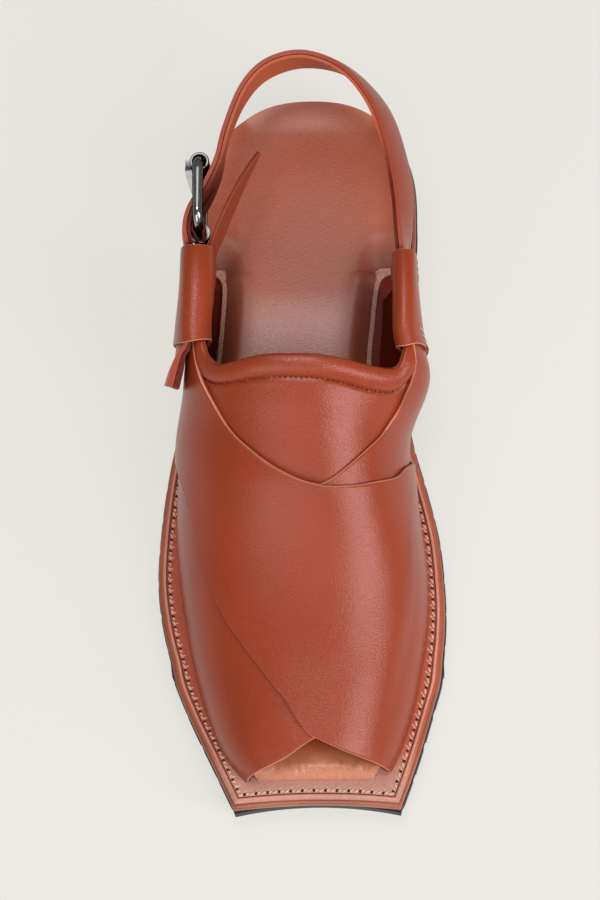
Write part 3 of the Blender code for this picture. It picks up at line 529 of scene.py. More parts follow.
def indexed_grid(mesh, columns, rows):
    """A grid in a mesh, as its vertices with the column and row of each."""
    bmesh.ops.create_grid(mesh, x_segments=columns, y_segments=rows, size=1.0)
    return [
        (vert, round((vert.co.x + 1) / 2 * columns), round((vert.co.y + 1) / 2 * rows))
        for vert in mesh.verts
    ]


def close_mesh(mesh):
    """Merges a mesh's doubles and turns its faces outwards."""
    bmesh.ops.remove_doubles(mesh, verts=mesh.verts[:], dist=MERGE)
    bmesh.ops.recalc_face_normals(mesh, faces=mesh.faces[:])
    return mesh


def mesh_data(name, mesh):
    """A finished bmesh as mesh data."""
    data = bpy.data.meshes.new(name)
    mesh.to_mesh(data)
    mesh.free()
    return data


def add_object(name, data):
    """A new object at the origin, linked into the scene."""
    made = bpy.data.objects.new(name, data)
    bpy.context.scene.collection.objects.link(made)
    return made


# A leather sheet's finishes: grain side, cut edge, inside, and the worn corners of the cut edge,
# which are lighter for rubbing and as a painted highlight
OUTER, RIM, INNER, WORN_HIGHLIGHT = 0, 1, 2, 3


def soften(distance, radius):
    """How far an edge rounded to this radius has dropped, at a distance in from the edge."""
    if distance >= radius:
        return 0.0
    return radius - math.sqrt(radius**2 - (radius - max(0.0, distance)) ** 2)


def sheet_mesh(us, ws, inner, outer, worn=None):
    """A closed sheet between inner(u, w) and outer(u, w), its faces marked outer, rim or inner.

    The last argument, a function of (u, w), tells where the outer side takes the worn finish,
    which is lighter for rubbing and as a painted highlight.
    """
    mesh = bmesh.new()
    u_layer = mesh.verts.layers.float.new("u")
    w_layer = mesh.verts.layers.float.new("w")
    for vert, column, row in indexed_grid(mesh, len(us) - 1, len(ws) - 1):
        vert[u_layer], vert[w_layer] = us[column], ws[row]
    grown = bmesh.ops.extrude_face_region(mesh, geom=mesh.faces[:])["geom"]
    outside = {item for item in grown if isinstance(item, bmesh.types.BMVert)}
    for face in mesh.faces:
        count = sum(vert in outside for vert in face.verts)
        face.material_index = OUTER if count == len(face.verts) else RIM if count else INNER
        u, w = (sum(vert[layer] for vert in face.verts) / 4 for layer in (u_layer, w_layer))
        if worn and face.material_index == OUTER and worn(u, w):
            face.material_index = WORN_HIGHLIGHT
    for vert in mesh.verts:
        place = outer if vert in outside else inner
        vert.co = Vector(place(vert[u_layer], vert[w_layer])) * MM
    return close_mesh(mesh)


def tube_mesh(around, section, place):
    """A closed tube along a closed path: place(turn, angle), both from 0 to 1."""
    mesh = bmesh.new()
    for vert, column, row in indexed_grid(mesh, around, section):
        vert.co = Vector(place(column % around / around, row % section / section)) * MM
    return close_mesh(mesh)


def layer_mesh(profile, inset, end, dish, base):
    """A sole layer from a profile of (inset, height, finish), out along its underside, up and over."""
    mesh = bmesh.new()
    lines = [outline(inset + point[0], end + inset, dish) for point in profile]
    count = len(lines[0])
    row_layer = mesh.verts.layers.int.new("row")
    for vert, column, row in indexed_grid(mesh, count, len(profile) + 1):
        at = min(max(row - 1, 0), len(profile) - 1)
        vert[row_layer] = at
        x, ahead = lines[at][column % count]
        if row in (0, len(profile) + 1):
            ahead = min(max(ahead, HEEL_TREAD), end - HEEL_TREAD)
            x = (sole_edge(LATERAL, ahead, 0) + sole_edge(MEDIAL, ahead, 0)) / 2
        vert.co = Vector((x, HEEL_TREAD - ahead, base(ahead) + profile[at][1])) * MM
    for face in mesh.faces:
        face.material_index = profile[min(vert[row_layer] for vert in face.verts)][2]
    return close_mesh(mesh)


# Edges that turn more than this are shaded sharp, or rounded where a piece has a rounding
SHARP_EDGE, ROUNDED_EDGE = math.radians(40), math.radians(50)


def set_piece(name, mesh, looks, replaces=(), rounded=0.0):
    """Turns a finished mesh into a piece that rides on the shoe, with a finish for each index."""
    data = mesh_data(name, mesh)
    for look in looks:
        data.materials.append(finish(look))
    data.shade_smooth()
    data.set_sharp_from_angle(angle=SHARP_EDGE)
    piece = add_object(name, data)
    if rounded:
        edge = piece.modifiers.new("rounded edges", "BEVEL")
        edge.width = rounded * MM
        edge.segments = 2
        edge.limit_method = "ANGLE"
        edge.angle_limit = ROUNDED_EDGE
        edge.harden_normals = True
        # The rounded corners take the worn finish: lighter for rubbing and as a painted highlight
        if len(looks) > WORN_HIGHLIGHT:
            edge.material = WORN_HIGHLIGHT
    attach(piece, "root")
    if replaces:
        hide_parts(*replaces)
    return piece


def thread_mesh(stitches, size, material_index=0, mesh=None):
    """Short rounded threads: each stitch is (middle, way along, way out), size is three lengths."""
    mesh = mesh or bmesh.new()
    for middle, along, outward in stitches:
        forward = along.normalized()
        side = outward.cross(forward).normalized()
        turn = Matrix((forward, side, side.cross(forward) * -1)).transposed()
        turn = turn @ Matrix.Diagonal([length / 2 * MM for length in size])
        place = Matrix.Translation(middle * MM) @ turn.to_4x4()
        made = bmesh.ops.create_uvsphere(
            mesh, u_segments=8, v_segments=6, radius=1.0, matrix=place
        )
        for face in {face for vert in made["verts"] for face in vert.link_faces}:
            face.material_index = material_index
    return mesh


def walk(path, pitch):
    """Evenly spaced places along a line of points, each with the way along the line there."""
    places = []
    to_go = pitch / 2
    for start, end in zip(path, path[1:]):
        length = (end - start).length
        done = 0.0
        while length - done >= to_go:
            done += to_go
            to_go = pitch
            places.append((start.lerp(end, done / length), (end - start) / length))
        to_go -= length - done
    return places


def seam_frames(path_frames, pitch, slant):
    """Stitches along a line of (point, way out): a place every pitch, turned by slant about out."""
    points = [point for point, _ in path_frames]
    made = []
    for place, along in walk(points, pitch):
        _, outward = min(path_frames, key=lambda item: (item[0] - place).length_squared)
        turned = Matrix.Rotation(math.radians(slant), 3, outward) @ along
        made.append((place, turned, outward))
    return made


# Finishes


def new_material(name, colour, roughness, metallic=0.0):
    """A plain material, its node tree, its shader and the place on the piece, in metres."""
    made = bpy.data.materials.new(name)
    made.use_nodes = True
    made.diffuse_color = (*colour, 1.0)
    shader = made.node_tree.nodes["Principled BSDF"]
    shader.inputs["Base Color"].default_value = (*colour, 1.0)
    shader.inputs["Roughness"].default_value = roughness
    shader.inputs["Metallic"].default_value = metallic
    place = add(made.node_tree, "TexCoord").outputs["Object"]
    return made, made.node_tree, shader, place


def add(tree, kind, inputs=None, **settings):
    """A node with its settings and inputs, each input a value or the output that feeds it."""
    node = tree.nodes.new("ShaderNode" + kind)
    for name, value in settings.items():
        setattr(node, name, value)
    for name, value in (inputs or {}).items():
        if isinstance(value, bpy.types.NodeSocket):
            tree.links.new(value, node.inputs[name])
        else:
            node.inputs[name].default_value = value
    return node


def spread(tree, value, low, high, to_low=0.0, to_high=1.0):
    """value, eased from one range to another and held inside it."""
    inputs = {"Value": value, "From Min": low, "From Max": high, "To Min": to_low, "To Max": to_high}
    return add(tree, "MapRange", inputs, interpolation_type="SMOOTHSTEP").outputs["Result"]


def blend_colours(tree, share, first, second):
    """The first colour where share is 0, the second where it is 1."""
    node = add(tree, "Mix", data_type="RGBA")
    for socket, value in ((0, share), (6, first), (7, second)):
        if isinstance(value, bpy.types.NodeSocket):
            tree.links.new(value, node.inputs[socket])
        else:
            node.inputs[socket].default_value = value if socket == 0 else (*value, 1.0)
    return node.outputs[2]


def multiply_add(tree, value, factor, more):
    """value times factor, plus more."""
    inputs = {0: value, 1: factor, 2: more}
    return add(tree, "Math", inputs, operation="MULTIPLY_ADD").outputs["Value"]


def shade(colour, factor):
    """A colour, darker by a factor under 1 or lighter by one over it."""
    return tuple(channel * factor for channel in colour)


def set_relief(tree, shader, height, depth):
    """Bump of this depth in millimetres over a height from 0 to 1."""
    bump = add(tree, "Bump", {"Height": height, "Strength": 1.0, "Distance": depth * MM})
    tree.links.new(bump.outputs["Normal"], shader.inputs["Normal"])


def per_metre(size):
    """A texture's scale for marks of about this size in millimetres."""
    return 1 / (size * MM)


def patches(tree, place, size, detail):
    """Soft irregular patches of about this size in millimetres."""
    inputs = {"Vector": place, "Scale": per_metre(size), "Detail": detail}
    return add(tree, "TexNoise", inputs).outputs["Fac"]


def along_shoe(tree, place, start, end):
    """0 behind one distance ahead of the heel's back, 1 in front of another."""
    y = add(tree, "SeparateXYZ", {"Vector": place}).outputs["Y"]
    return spread(tree, y, (HEEL_TREAD - start) * MM, (HEEL_TREAD - end) * MM)


# Painted shade: the colour and the extra roughness where the keepers and strap shade the footbed by the
# notches
NOTCH_SHADE_COLOUR, NOTCH_SHADE_ROUGHNESS = (0.05, 0.008, 0.004), 0.4
FLECK_DYE, FLECK_STRENGTH = (0.02, 0.004, 0.002), 0.12


def leather(name, colour, roughness, grain, depth, mottle, gloss, *changes):
    """Tanned hide: pores and creases of one grain size, cloudy dye and an uneven polish.

    A mesh's own painted-shade attribute, where it has one, darkens the leather as painted shade
    and dulls it.
    Each change is (colour, start, end): the colour turns to it between two distances ahead. The dark
    parts of the strap lining and the welt are painted shade, and the welt's pale front a painted highlight.
    """
    made, tree, shader, place = new_material(name, colour, roughness)
    clouds = patches(tree, place, 34, 3.0)
    specks = patches(tree, place, grain * 1.3, 2.0)
    cells = {"Vector": place, "Scale": per_metre(grain)}
    pores = add(tree, "TexVoronoi", cells, feature="SMOOTH_F1").outputs["Distance"]
    dye = spread(tree, clouds, 0.3, 0.7)
    tone = blend_colours(tree, dye, shade(colour, 1 - mottle), shade(colour, 1 + mottle))
    for changed, start, end in changes:
        tone = blend_colours(tree, along_shoe(tree, place, start, end), tone, changed)
    # A mesh's painted-shade attribute turns the colour towards painted shade and adds roughness
    notch_shade = add(tree, "Attribute", attribute_name="pooled_dye").outputs["Fac"]
    tone = blend_colours(tree, notch_shade, tone, NOTCH_SHADE_COLOUR)
    fleck = spread(tree, specks, 0.3, 0.6)
    dark = blend_colours(tree, FLECK_STRENGTH, tone, FLECK_DYE)
    tone = blend_colours(tree, fleck, dark, tone)
    tree.links.new(tone, shader.inputs["Base Color"])
    polish = spread(tree, clouds, 0.3, 0.7, roughness, roughness + 0.015)
    dulled = multiply_add(tree, notch_shade, NOTCH_SHADE_ROUGHNESS, polish)
    tree.links.new(dulled, shader.inputs["Roughness"])
    set_relief(tree, shader, multiply_add(tree, pores, 0.7, specks), depth)
    shader.inputs["Specular IOR Level"].default_value = gloss
    return made


def rough_flesh(name, colour, fibre):
    """The hide's unpolished side and raw cuts: short pale and dark fibres of about this length."""
    made, tree, shader, place = new_material(name, colour, 0.85)
    fibres = patches(tree, place, fibre, 6.0)
    share = spread(tree, fibres, 0.35, 0.65)
    tone = blend_colours(tree, share, shade(colour, 0.6), shade(colour, 1.45))
    tree.links.new(tone, shader.inputs["Base Color"])
    set_relief(tree, shader, fibres, 0.25)
    shader.inputs["Sheen Weight"].default_value = 0.25
    return made


def rubber(name, colour):
    """Moulded rubber, dull, with a dusty bloom."""
    made, tree, shader, place = new_material(name, colour, 0.62)
    grit = patches(tree, place, 0.9, 5.0)
    dust = spread(tree, patches(tree, place, 9, 6.0), 0.45, 0.75, 0.0, 0.5)
    tree.links.new(blend_colours(tree, dust, colour, shade(colour, 2.4)), shader.inputs["Base Color"])
    set_relief(tree, shader, grit, 0.18)
    return made


def plated_metal(name, colour):
    """Polished dark nickel with faint handling marks; its colour darkens where it turns away from view, a
    painted dark reflection.
    """
    made, tree, shader, place = new_material(name, colour, 0.16, 1.0)
    marks = patches(tree, place, 4, 7.0)
    tree.links.new(spread(tree, marks, 0.4, 0.7, 0.1, 0.26), shader.inputs["Roughness"])
    # Painted dark reflection: the colour darkens to near black where the surface turns away from view
    turned = spread(tree, add(tree, "LayerWeight", {"Blend": 0.5}).outputs["Facing"], 0.25, 0.7)
    tree.links.new(blend_colours(tree, turned, colour, shade(colour, 0.05)), shader.inputs["Base Color"])
    shader.inputs["Specular Tint"].default_value = (0.1, 0.1, 0.1, 1.0)
    set_relief(tree, shader, marks, 0.02)
    return made


def twine(name, colour):
    """Waxed thread: fine diagonal strands."""
    made, tree, shader, place = new_material(name, colour, 0.6)
    waves = {"Vector": place, "Scale": per_metre(1.4), "Distortion": 1.5}
    strands = add(tree, "TexWave", waves, bands_direction="DIAGONAL").outputs["Fac"]
    tone = blend_colours(tree, strands, shade(colour, 0.75), shade(colour, 1.15))
    tree.links.new(tone, shader.inputs["Base Color"])
    set_relief(tree, shader, strands, 0.08)
    return made


def painted_floor(name, colour, glow):
    """A table of pale plastic, lit from below so that shadows on it stay soft."""
    made, tree, shader, place = new_material(name, colour, 0.9)
    mist = spread(tree, patches(tree, place, 500, 2.0), 0.3, 0.7)
    tree.links.new(blend_colours(tree, mist, shade(colour, 0.995), colour), shader.inputs["Base Color"])
    shader.inputs["Specular IOR Level"].default_value = 0.1
    shader.inputs["Emission Color"].default_value = (*colour, 1.0)
    shader.inputs["Emission Strength"].default_value = glow
    return made


def finish_settings():
    """Each finish's maker and settings: a leather has its dye, roughness, grain, depth of grain,
    mottle and gloss, and then its changes of dye along the shoe.
    """
    colours, stage = bpy.context.scene.chappal_colours, bpy.context.scene.chappal_stage
    return {
        "upper grain": (leather, colours.upper, 0.29, 0.5, 0.1, 0.04, 0.42),
        "strap grain": (leather, colours.upper, 0.27, 0.55, 0.06, 0.08, 0.05),
        "upper cut edge": (leather, colours.edge, 0.5, 0.6, 0.04, 0.15, 0.15),
        # Worn corners: lighter for rubbing and as a painted highlight along the rounded edges
        "worn corner": (leather, colours.worn, 0.5, 0.6, 0.02, 0.15, 0.4),
        # The upper lining finish is real lining inside the panels, and painted shade on the buckle loop
        "upper lining": (leather, colours.lining, 0.6, 0.7, 0.06, 0.1, 0.06),
        # The strap lining turns to the dark lining colour from 30 to 60 mm ahead: painted shade where the
        # keepers and buckle shade its inside
        "strap lining": (
            leather, colours.strap_lining, 0.5, 0.7, 0.05, 0.1, 0.2, (colours.lining, 30, 60)
        ),
        "strap edge": (leather, colours.strap_edge, 0.4, 0.6, 0.04, 0.1, 0.25),
        "footbed leather": (
            leather, colours.footbed, 0.36, 0.6, 0.06, 0.06, 0.8, (colours.footbed_front, 258, 266)
        ),
        "footbed cut edge": (rough_flesh, colours.footbed_edge, 0.35),
        # The welt leather is the dark lining colour behind 122 mm ahead, painted shade between the footbed
        # and the wings; it turns to the welt's own colour by 136 mm, and before the toes to a paler one, a
        # painted highlight
        "welt leather": (
            leather, colours.lining, 0.42, 0.8, 0.1, 0.12, 0.08,
            (colours.welt, 122, 136), (colours.welt_front_light, 255, 276),
        ),
        # The bead is a lighter copy of the welt leather: a painted highlight on its rounded top
        "welt bead": (leather, colours.bead, 0.35, 0.8, 0.03, 0.1, 0.5),
        # The grooves are a darker copy of the welt leather: painted shade in them
        "welt groove": (leather, colours.groove, 0.6, 0.8, 0.05, 0.1, 0.1),
        "edge stain": (leather, colours.board, 0.35, 0.8, 0.03, 0.15, 0.4),
        "rough side": (rough_flesh, colours.rough_side, 0.6),
        "sole rubber": (rubber, colours.rubber),
        "dark nickel": (plated_metal, colours.metal),
        "pale thread": (twine, colours.welt_thread),
        # The dark thread is near black: painted shade for the tongue's thread, which lies in the shaded
        # seam under the roll
        "dark thread": (twine, colours.tongue_thread_shade),
        # Awl holes: dark spots of painted shade inside the holes
        "awl hole": (rubber, colours.hole),
        "studio floor": (painted_floor, colours.floor, stage.table_glow),
    }


def finish(name):
    """The finish of this name, made from the colours in the sidebar the first time it is asked for."""
    if name in bpy.data.materials:
        return bpy.data.materials[name]
    make, *settings = finish_settings()[name]
    return make(name, *settings)


# The finishes of a sheet's grain side, rim and inside, and of its worn corners where it has them
UPPER_LOOKS = ("upper grain", "upper cut edge", "upper lining", "worn corner")
RUBBER_LOOKS = ("sole rubber",) * 3
PRONG_LOOKS = ("dark nickel",) * 3
# The buckle loop takes the dark lining finish: painted shade round the buckle's front bar
SHADED_LOOP_LOOKS = ("upper lining",) * 3


# Sole


def groove(ahead, start, end):
    """Depth of the cross grooves in a tread, none outside start and end."""
    if not start <= ahead <= end:
        return 0.0
    along = (ahead - start) % BAR_PITCH
    wall = min(along, GROOVE_WIDTH - along) / GROOVE_SLOPE
    return GROOVE_DEPTH * clamp(wall)


def tread_rows(start, end, limits):
    """Rows at the corners of the tread's grooves, and every two millimetres between."""
    rows = steps(*limits, round((limits[1] - limits[0]) / 2))
    corners = (0, GROOVE_SLOPE, GROOVE_WIDTH - GROOVE_SLOPE, GROOVE_WIDTH)
    for i in range(int((end - start) / BAR_PITCH) + 1):
        rows += [start + BAR_PITCH * i + corner for corner in corners]
    rows = sorted(row for row in rows if limits[0] <= row <= limits[1])
    return [row for row, after in zip(rows, rows[1:] + [1e9]) if after - row > 0.2]


def slab_mesh(rows, columns, place, base, top):
    """A sole layer between base(x, ahead) and top(x, ahead)."""

    def at(height):
        def point(row, across):
            x, ahead = place(row, across)
            return x, HEEL_TREAD - ahead, height(x, ahead)

        return point

    return sheet_mesh(rows, columns, at(base), at(top))


def edge_columns(count):
    """Shares across a layer, closer together towards its edges."""
    return [(1 - math.cos(math.pi * share)) / 2 for share in steps(0, 1, count)]


OUTSOLE_GROOVES = (138.0, 275.0)
HEEL_GROOVES = (22.0, 70.0)
# The notches along the tread's side edges
LUG, LUG_NOTCH, LUG_START = 0.35, 1.4, 100.0
# The two lengthwise grooves of the forefoot, on either side of a middle x
CENTRE_START, CENTRE_END, CENTRE_X = 150.0, 268.0, 2.0
CENTRE_APART, CENTRE_WIDTH, CENTRE_DEPTH = 19.0, 1.1, 1.2
# How far the heel block is pressed into the outsole
HEEL_SEAT = 0.1


def lug(ahead):
    """How far the tread's side blocks stand out between the notches."""
    along = (ahead - OUTSOLE_GROOVES[0]) % BAR_PITCH
    notch = clamp(1 - abs(along - GROOVE_WIDTH / 2) / LUG_NOTCH)
    return LUG * (1 - notch)


def centre_groove(x, ahead):
    """Depth of the two grooves along the forefoot."""
    if not CENTRE_START < ahead < CENTRE_END:
        return 0.0
    return CENTRE_DEPTH * clamp(1 - abs(abs(x - CENTRE_X) - CENTRE_APART) / CENTRE_WIDTH)


def make_outsole():
    """The outsole, its tread cut by cross grooves, side notches and two lengthwise grooves."""

    def place(row, across):
        lip = -TOE_LIP * ease((row - TOE_LIP_START) / TOE_LIP_RUN)
        side = LUG - lug(row) if row > LUG_START else 0.0
        return layer_point(row, across, lip + side, OUTSOLE_END, OUTSOLE_DISH)

    def under(x, ahead):
        return ground(ahead) + max(groove(ahead, *OUTSOLE_GROOVES), centre_groove(x, ahead))

    rows = tread_rows(*OUTSOLE_GROOVES, (HEEL_SHOULDER, OUTSOLE_END))
    mesh = slab_mesh(rows, steps(0, 1, 44), place, under, lambda x, ahead: ground(ahead) + OUTSOLE)
    set_piece("rubber_outsole", mesh, RUBBER_LOOKS, ["outsole"], rounded=0.5)


def make_heel_block():
    """The heel's block, grooved across, its front face hollowed."""

    def place(row, across):
        x, ahead = layer_point(row, across, HEEL_INSET, OUTSOLE_END, 0)
        fade = ease((row - BREAST_HOLLOW_START) / (HEEL_BREAST - BREAST_HOLLOW_START))
        return x, ahead - BREAST_HOLLOW * fade * (1 - (2 * across - 1) ** 2)

    def under(x, ahead):
        return groove(ahead, *HEEL_GROOVES) if ahead > HEEL_ROUND else 0.0

    rows = tread_rows(*HEEL_GROOVES, (HEEL_SHOULDER, HEEL_BREAST))
    mesh = slab_mesh(rows, steps(0, 1, 36), place, under, lambda x, ahead: ground(ahead) + HEEL_SEAT)
    set_piece("rubber_heel", mesh, RUBBER_LOOKS, ["heel_block"], rounded=0.5)


# Each profile runs from the underside's middle out, up the edge and in over the top, and gives
# the finish from each point to the next: the layer's own, the one on its beads, or its grooves'.
# The beads' finish is a lighter copy of the layer's: a painted highlight on their rounded tops.
# The grooves' finish is a darker copy of the layer's: painted shade in them
FLAT, BEAD_HIGHLIGHT, CHANNEL_SHADE = 0, 1, 2
MIDSOLE_PROFILE = (
    (20.0, -0.25, FLAT), (0.6, -0.25, FLAT), (-0.2, 0.0, FLAT), (-0.45, 0.5, FLAT), (-0.5, 1.3, FLAT),
    (-0.5, 2.3, FLAT), (-0.45, 3.0, FLAT), (-0.3, 3.5, FLAT), (0.0, 3.8, FLAT), (0.35, 3.95, FLAT),
    (0.8, 4.0, FLAT), (1.2, 4.1, FLAT), (20.0, 4.1, FLAT),
)
WELT_PROFILE = (
    (20.0, -0.1, FLAT), (0.9, -0.1, FLAT), (0.25, 0.05, CHANNEL_SHADE), (0.05, 0.3, FLAT), (0.0, 0.9, FLAT),
    (0.05, 1.6, FLAT), (0.25, 2.1, FLAT), (0.6, 2.5, FLAT), (0.95, 2.8, BEAD_HIGHLIGHT), (1.25, 3.05, BEAD_HIGHLIGHT),
    (1.55, 3.1, BEAD_HIGHLIGHT), (1.85, 3.0, BEAD_HIGHLIGHT), (2.05, 2.8, CHANNEL_SHADE), (2.2, 2.5, CHANNEL_SHADE), (2.5, 2.45, FLAT),
    (2.8, 2.6, FLAT), (3.3, 2.7, FLAT), (4.0, 2.85, FLAT), (4.7, 3.0, FLAT), (6.0, 3.0, FLAT),
    (8.0, 3.0, FLAT), (12.0, 3.0, FLAT), (20.0, 3.0, FLAT),
)


def make_midsole():
    mesh = layer_mesh(MIDSOLE_PROFILE, MIDSOLE_INSET, MIDSOLE_END, MIDSOLE_DISH, midsole_base)
    looks = ("edge stain", "welt bead", "welt groove")
    set_piece("midsole_board", mesh, looks, ["midsole"])


def make_welt():
    mesh = layer_mesh(WELT_PROFILE, TOPSOLE_INSET, TOPSOLE_END, TOPSOLE_DISH, topsole_base)
    looks = ("welt leather", "welt bead", "welt groove")
    set_piece("stitched_welt", mesh, looks, ["topsole"])


WELT_STITCH_BACK = 98.0
# Heights over the welt's base, slants in degrees, and places across the welt from the threads
STITCH_HEIGHT, TAIL_HEIGHT, HOLE_HEIGHT = 2.75, 2.8, 2.85
STITCH_SLANT, TAIL_SLANT, HOLE_SLANT = 24, 55, 38
TAIL_INWARD, HOLE_OUTWARD = 1.0, 0.05


def welt_line(inset, height):
    """A line round the forefoot on the welt, from the medial waist past the toe to the lateral."""
    line = outline(TOPSOLE_INSET + inset, TOPSOLE_END + TOPSOLE_INSET, TOPSOLE_DISH)
    medial = [point for point in line[SIDE_POINTS + HEEL_POINTS:] if point[1] > WELT_STITCH_BACK]
    lateral = [point for point in line[:SIDE_POINTS] if point[1] > WELT_STITCH_BACK]
    up = Vector((0, 0, 1))
    return [
        (Vector((x, HEEL_TREAD - ahead, topsole_base(ahead) + height)), up)
        for x, ahead in medial + lateral
    ]


def make_welt_stitching():
    """One row of pale two-strand stitches round the forefoot, and dark spots of painted shade for the awl
    holes between them.
    """
    sizes = bpy.context.scene.chappal_stitching
    pitch, thick, inset = sizes.welt_pitch, sizes.thread, sizes.welt_inset
    strand = (pitch * 0.56, thick, thick * 0.9)
    path = welt_line(inset, STITCH_HEIGHT)
    threads = thread_mesh(seam_frames(path, pitch / 2, STITCH_SLANT), strand)
    tail = (pitch * 0.42, thick * 0.6, thick * 0.6)
    path = welt_line(inset + TAIL_INWARD, TAIL_HEIGHT)
    thread_mesh(seam_frames(path, pitch, TAIL_SLANT), tail, 0, threads)
    set_piece("welt_stitches", threads, ("pale thread",))
    # The awl holes are dark spots: painted shade inside the holes
    hole = (thick * 1.5, thick * 1.35, thick * 0.9)
    path = welt_line(inset - HOLE_OUTWARD, HOLE_HEIGHT)
    start = path[0][0]
    path[0] = (start + (path[1][0] - start).normalized() * pitch / 2, path[0][1])
    holes = thread_mesh(seam_frames(path, pitch, HOLE_SLANT), hole)
    set_piece("welt_awl_holes", holes, ("awl hole",))


# Footbed

NOTCH_END, NOTCH_FADE, NOTCH_CORNER = 126.0, 14.0, 3.5
PILLOW_DROP, PILLOW_REACH, PILLOW_BEHIND = 4.0, 9.5, 0.6
RAW_EDGE, RAW_CREASE, RAW_CREASE_WIDTH = 1.7, 0.25, 0.5
WRINKLE_START, WRINKLE_RUN, WRINKLE = 262.0, 5.0, 0.45
WRINKLE_WIDTH, WRINKLE_LENGTH = 1.3, 5.0
CUP_BACK = 20.0
# Painted shade beside and behind the notches: its strength, reach, share of reach behind, fade and end
NOTCH_SHADE, NOTCH_SHADE_REACH, NOTCH_SHADE_BEHIND, NOTCH_SHADE_FADE = 0.68, 17.0, 0.8, 20.0
NOTCH_SHADE_END = NOTCH_END + 8


def from_notch(x, ahead):
    """How far behind and how far beside the nearer notch a place on the footbed lies."""
    at = max(ahead, NOTCH + NOTCH_CORNER)
    inside = min(x - footbed_edge(LATERAL, at), footbed_edge(MEDIAL, at) - x)
    return max(0.0, NOTCH - ahead), max(0.0, inside)


def pillow(x, ahead):
    """How far the padding has sunk where it rolls down to the notches beside the wings."""
    behind, inside = from_notch(x, ahead)
    gap = math.hypot(PILLOW_BEHIND * behind, inside)
    fade = ease((NOTCH_END - ahead) / NOTCH_FADE)
    crease = RAW_CREASE * math.exp(-(((gap - RAW_EDGE) / RAW_CREASE_WIDTH) ** 2))
    return fade * (PILLOW_DROP * (1 - ease(gap / PILLOW_REACH)) + crease)


def wrinkle(x, ahead):
    """Fine creases where the leather is pulled over the footbed's front edge."""
    share = ease((ahead - WRINKLE_START) / WRINKLE_RUN)
    return WRINKLE * share * noise.noise(Vector((x / WRINKLE_WIDTH, ahead / WRINKLE_LENGTH, 3.0)))


def footbed_top(x, ahead):
    """Padded top: cupped round the heel, rolled down at the front and beside the notches."""
    at = max(ahead, CUP_BACK)
    centre = (footbed_edge(LATERAL, at) + footbed_edge(MEDIAL, at)) / 2
    half = abs(footbed_edge(MEDIAL, at) - centre)
    from_edge = min(half - abs(x - centre), ahead)
    fade = ease((CUP_FADE_END - ahead) / (CUP_FADE_END - CUP_FADE_START))
    cup = CUP_RISE * fade * ease(1 - from_edge / CUP_RIM)
    roll = max(0.0, (ahead - FOOTBED_BEVEL) / (FOOTBED_END - FOOTBED_BEVEL)) ** 2
    thickness = mix(FOOTBED + cup - pillow(x, ahead), FOOTBED_LIP, roll) + wrinkle(x, ahead)
    return welt_top(ahead) + GAP + thickness


def pooled_dye(x, ahead):
    """How much painted shade darkens the footbed beside and behind the notches, under the keepers and
    strap.
    """
    behind, inside = from_notch(x, ahead)
    beside = ease(1 - math.hypot(NOTCH_SHADE_BEHIND * behind, inside) / NOTCH_SHADE_REACH)
    return NOTCH_SHADE * beside * ease((NOTCH_SHADE_END - ahead) / NOTCH_SHADE_FADE)


def make_footbed():
    """The padded footbed, its rows closest together at the notches' corners and at its front."""
    rows = steps(HEEL_SHOULDER, NOTCH - 3, 42) + steps(NOTCH - 2.6, NOTCH + 4, 20)
    rows += steps(NOTCH + 5, NOTCH_END, 34) + steps(NOTCH_END + 3, WRINKLE_START, 44)
    rows += steps(WRINKLE_START + 0.4, FOOTBED_END, 24)
    mesh = slab_mesh(rows, edge_columns(84), footbed_point, lambda x, ahead: welt_top(ahead), footbed_top)
    for face in mesh.faces:
        middle = face.calc_center_median() / MM
        ahead = HEEL_TREAD - middle.y
        raw = ahead < NOTCH_END and math.hypot(*from_notch(middle.x, ahead)) < RAW_EDGE
        if raw and face.material_index == OUTER:
            face.material_index = RIM
    # The painted shade is kept on the mesh for the footbed's finish
    shade_layer = mesh.verts.layers.float.new("pooled_dye")
    for vert in mesh.verts:
        vert[shade_layer] = pooled_dye(vert.co.x / MM, HEEL_TREAD - vert.co.y / MM)
    looks = ("footbed leather", "footbed cut edge", "footbed cut edge")
    piece = set_piece("padded_footbed", mesh, looks, ["footbed"], rounded=0.6)


# Upper

RIPPLE_LENGTH, RIPPLES_ROUND = 22.0, 7.0
SHORTEST_RIB = 4.0


def ripple(ahead, girth, height):
    """A slow unevenness of hand-pulled leather."""
    return height * noise.noise(Vector((ahead / RIPPLE_LENGTH, girth * RIPPLES_ROUND, 1.7)))


@cache
def rib_length(ribs, along):
    """How wide a strip is at a share along it, straight from throat edge to toe edge."""
    start = last_point(*rib_place(ribs, along, 0.0), 0.0)
    return max(SHORTEST_RIB, (last_point(*rib_place(ribs, along, 1.0), 0.0) - start).length)


# The radius of a panel's throat edge and toe edge, and how far in from each the worn finish reaches,
# lighter for rubbing and as a painted highlight
EDGE_ROUND, EDGE_WEAR_HIGHLIGHT = (0.95, 0.6), (0.4, 0.28)


def strip_mesh(ribs, counts, low, high, rounds=(0.0, 0.0), wear_highlight=(0.0, 0.0)):
    """A leather strip on the last between two lifts, each a function of (along, ahead, girth)."""

    def from_edges(along, across):
        length = rib_length(ribs, along)
        return across * length, (1 - across) * length

    def inner(along, across):
        ahead, girth = rib_place(ribs, along, across)
        return last_point(ahead, girth, low(along, across, ahead, girth))

    def outer(along, across):
        ahead, girth = rib_place(ribs, along, across)
        lift = high(along, across, ahead, girth)
        for distance, radius in zip(from_edges(along, across), rounds):
            lift -= soften(distance, radius)
        return last_point(ahead, girth, lift)

    # Where the worn finish goes: lighter for rubbing and as a painted highlight
    def worn(along, across):
        return any(distance < width for distance, width in zip(from_edges(along, across), wear_highlight))

    return sheet_mesh(steps(0, 1, counts[0]), edge_columns(counts[1]), inner, outer, worn)


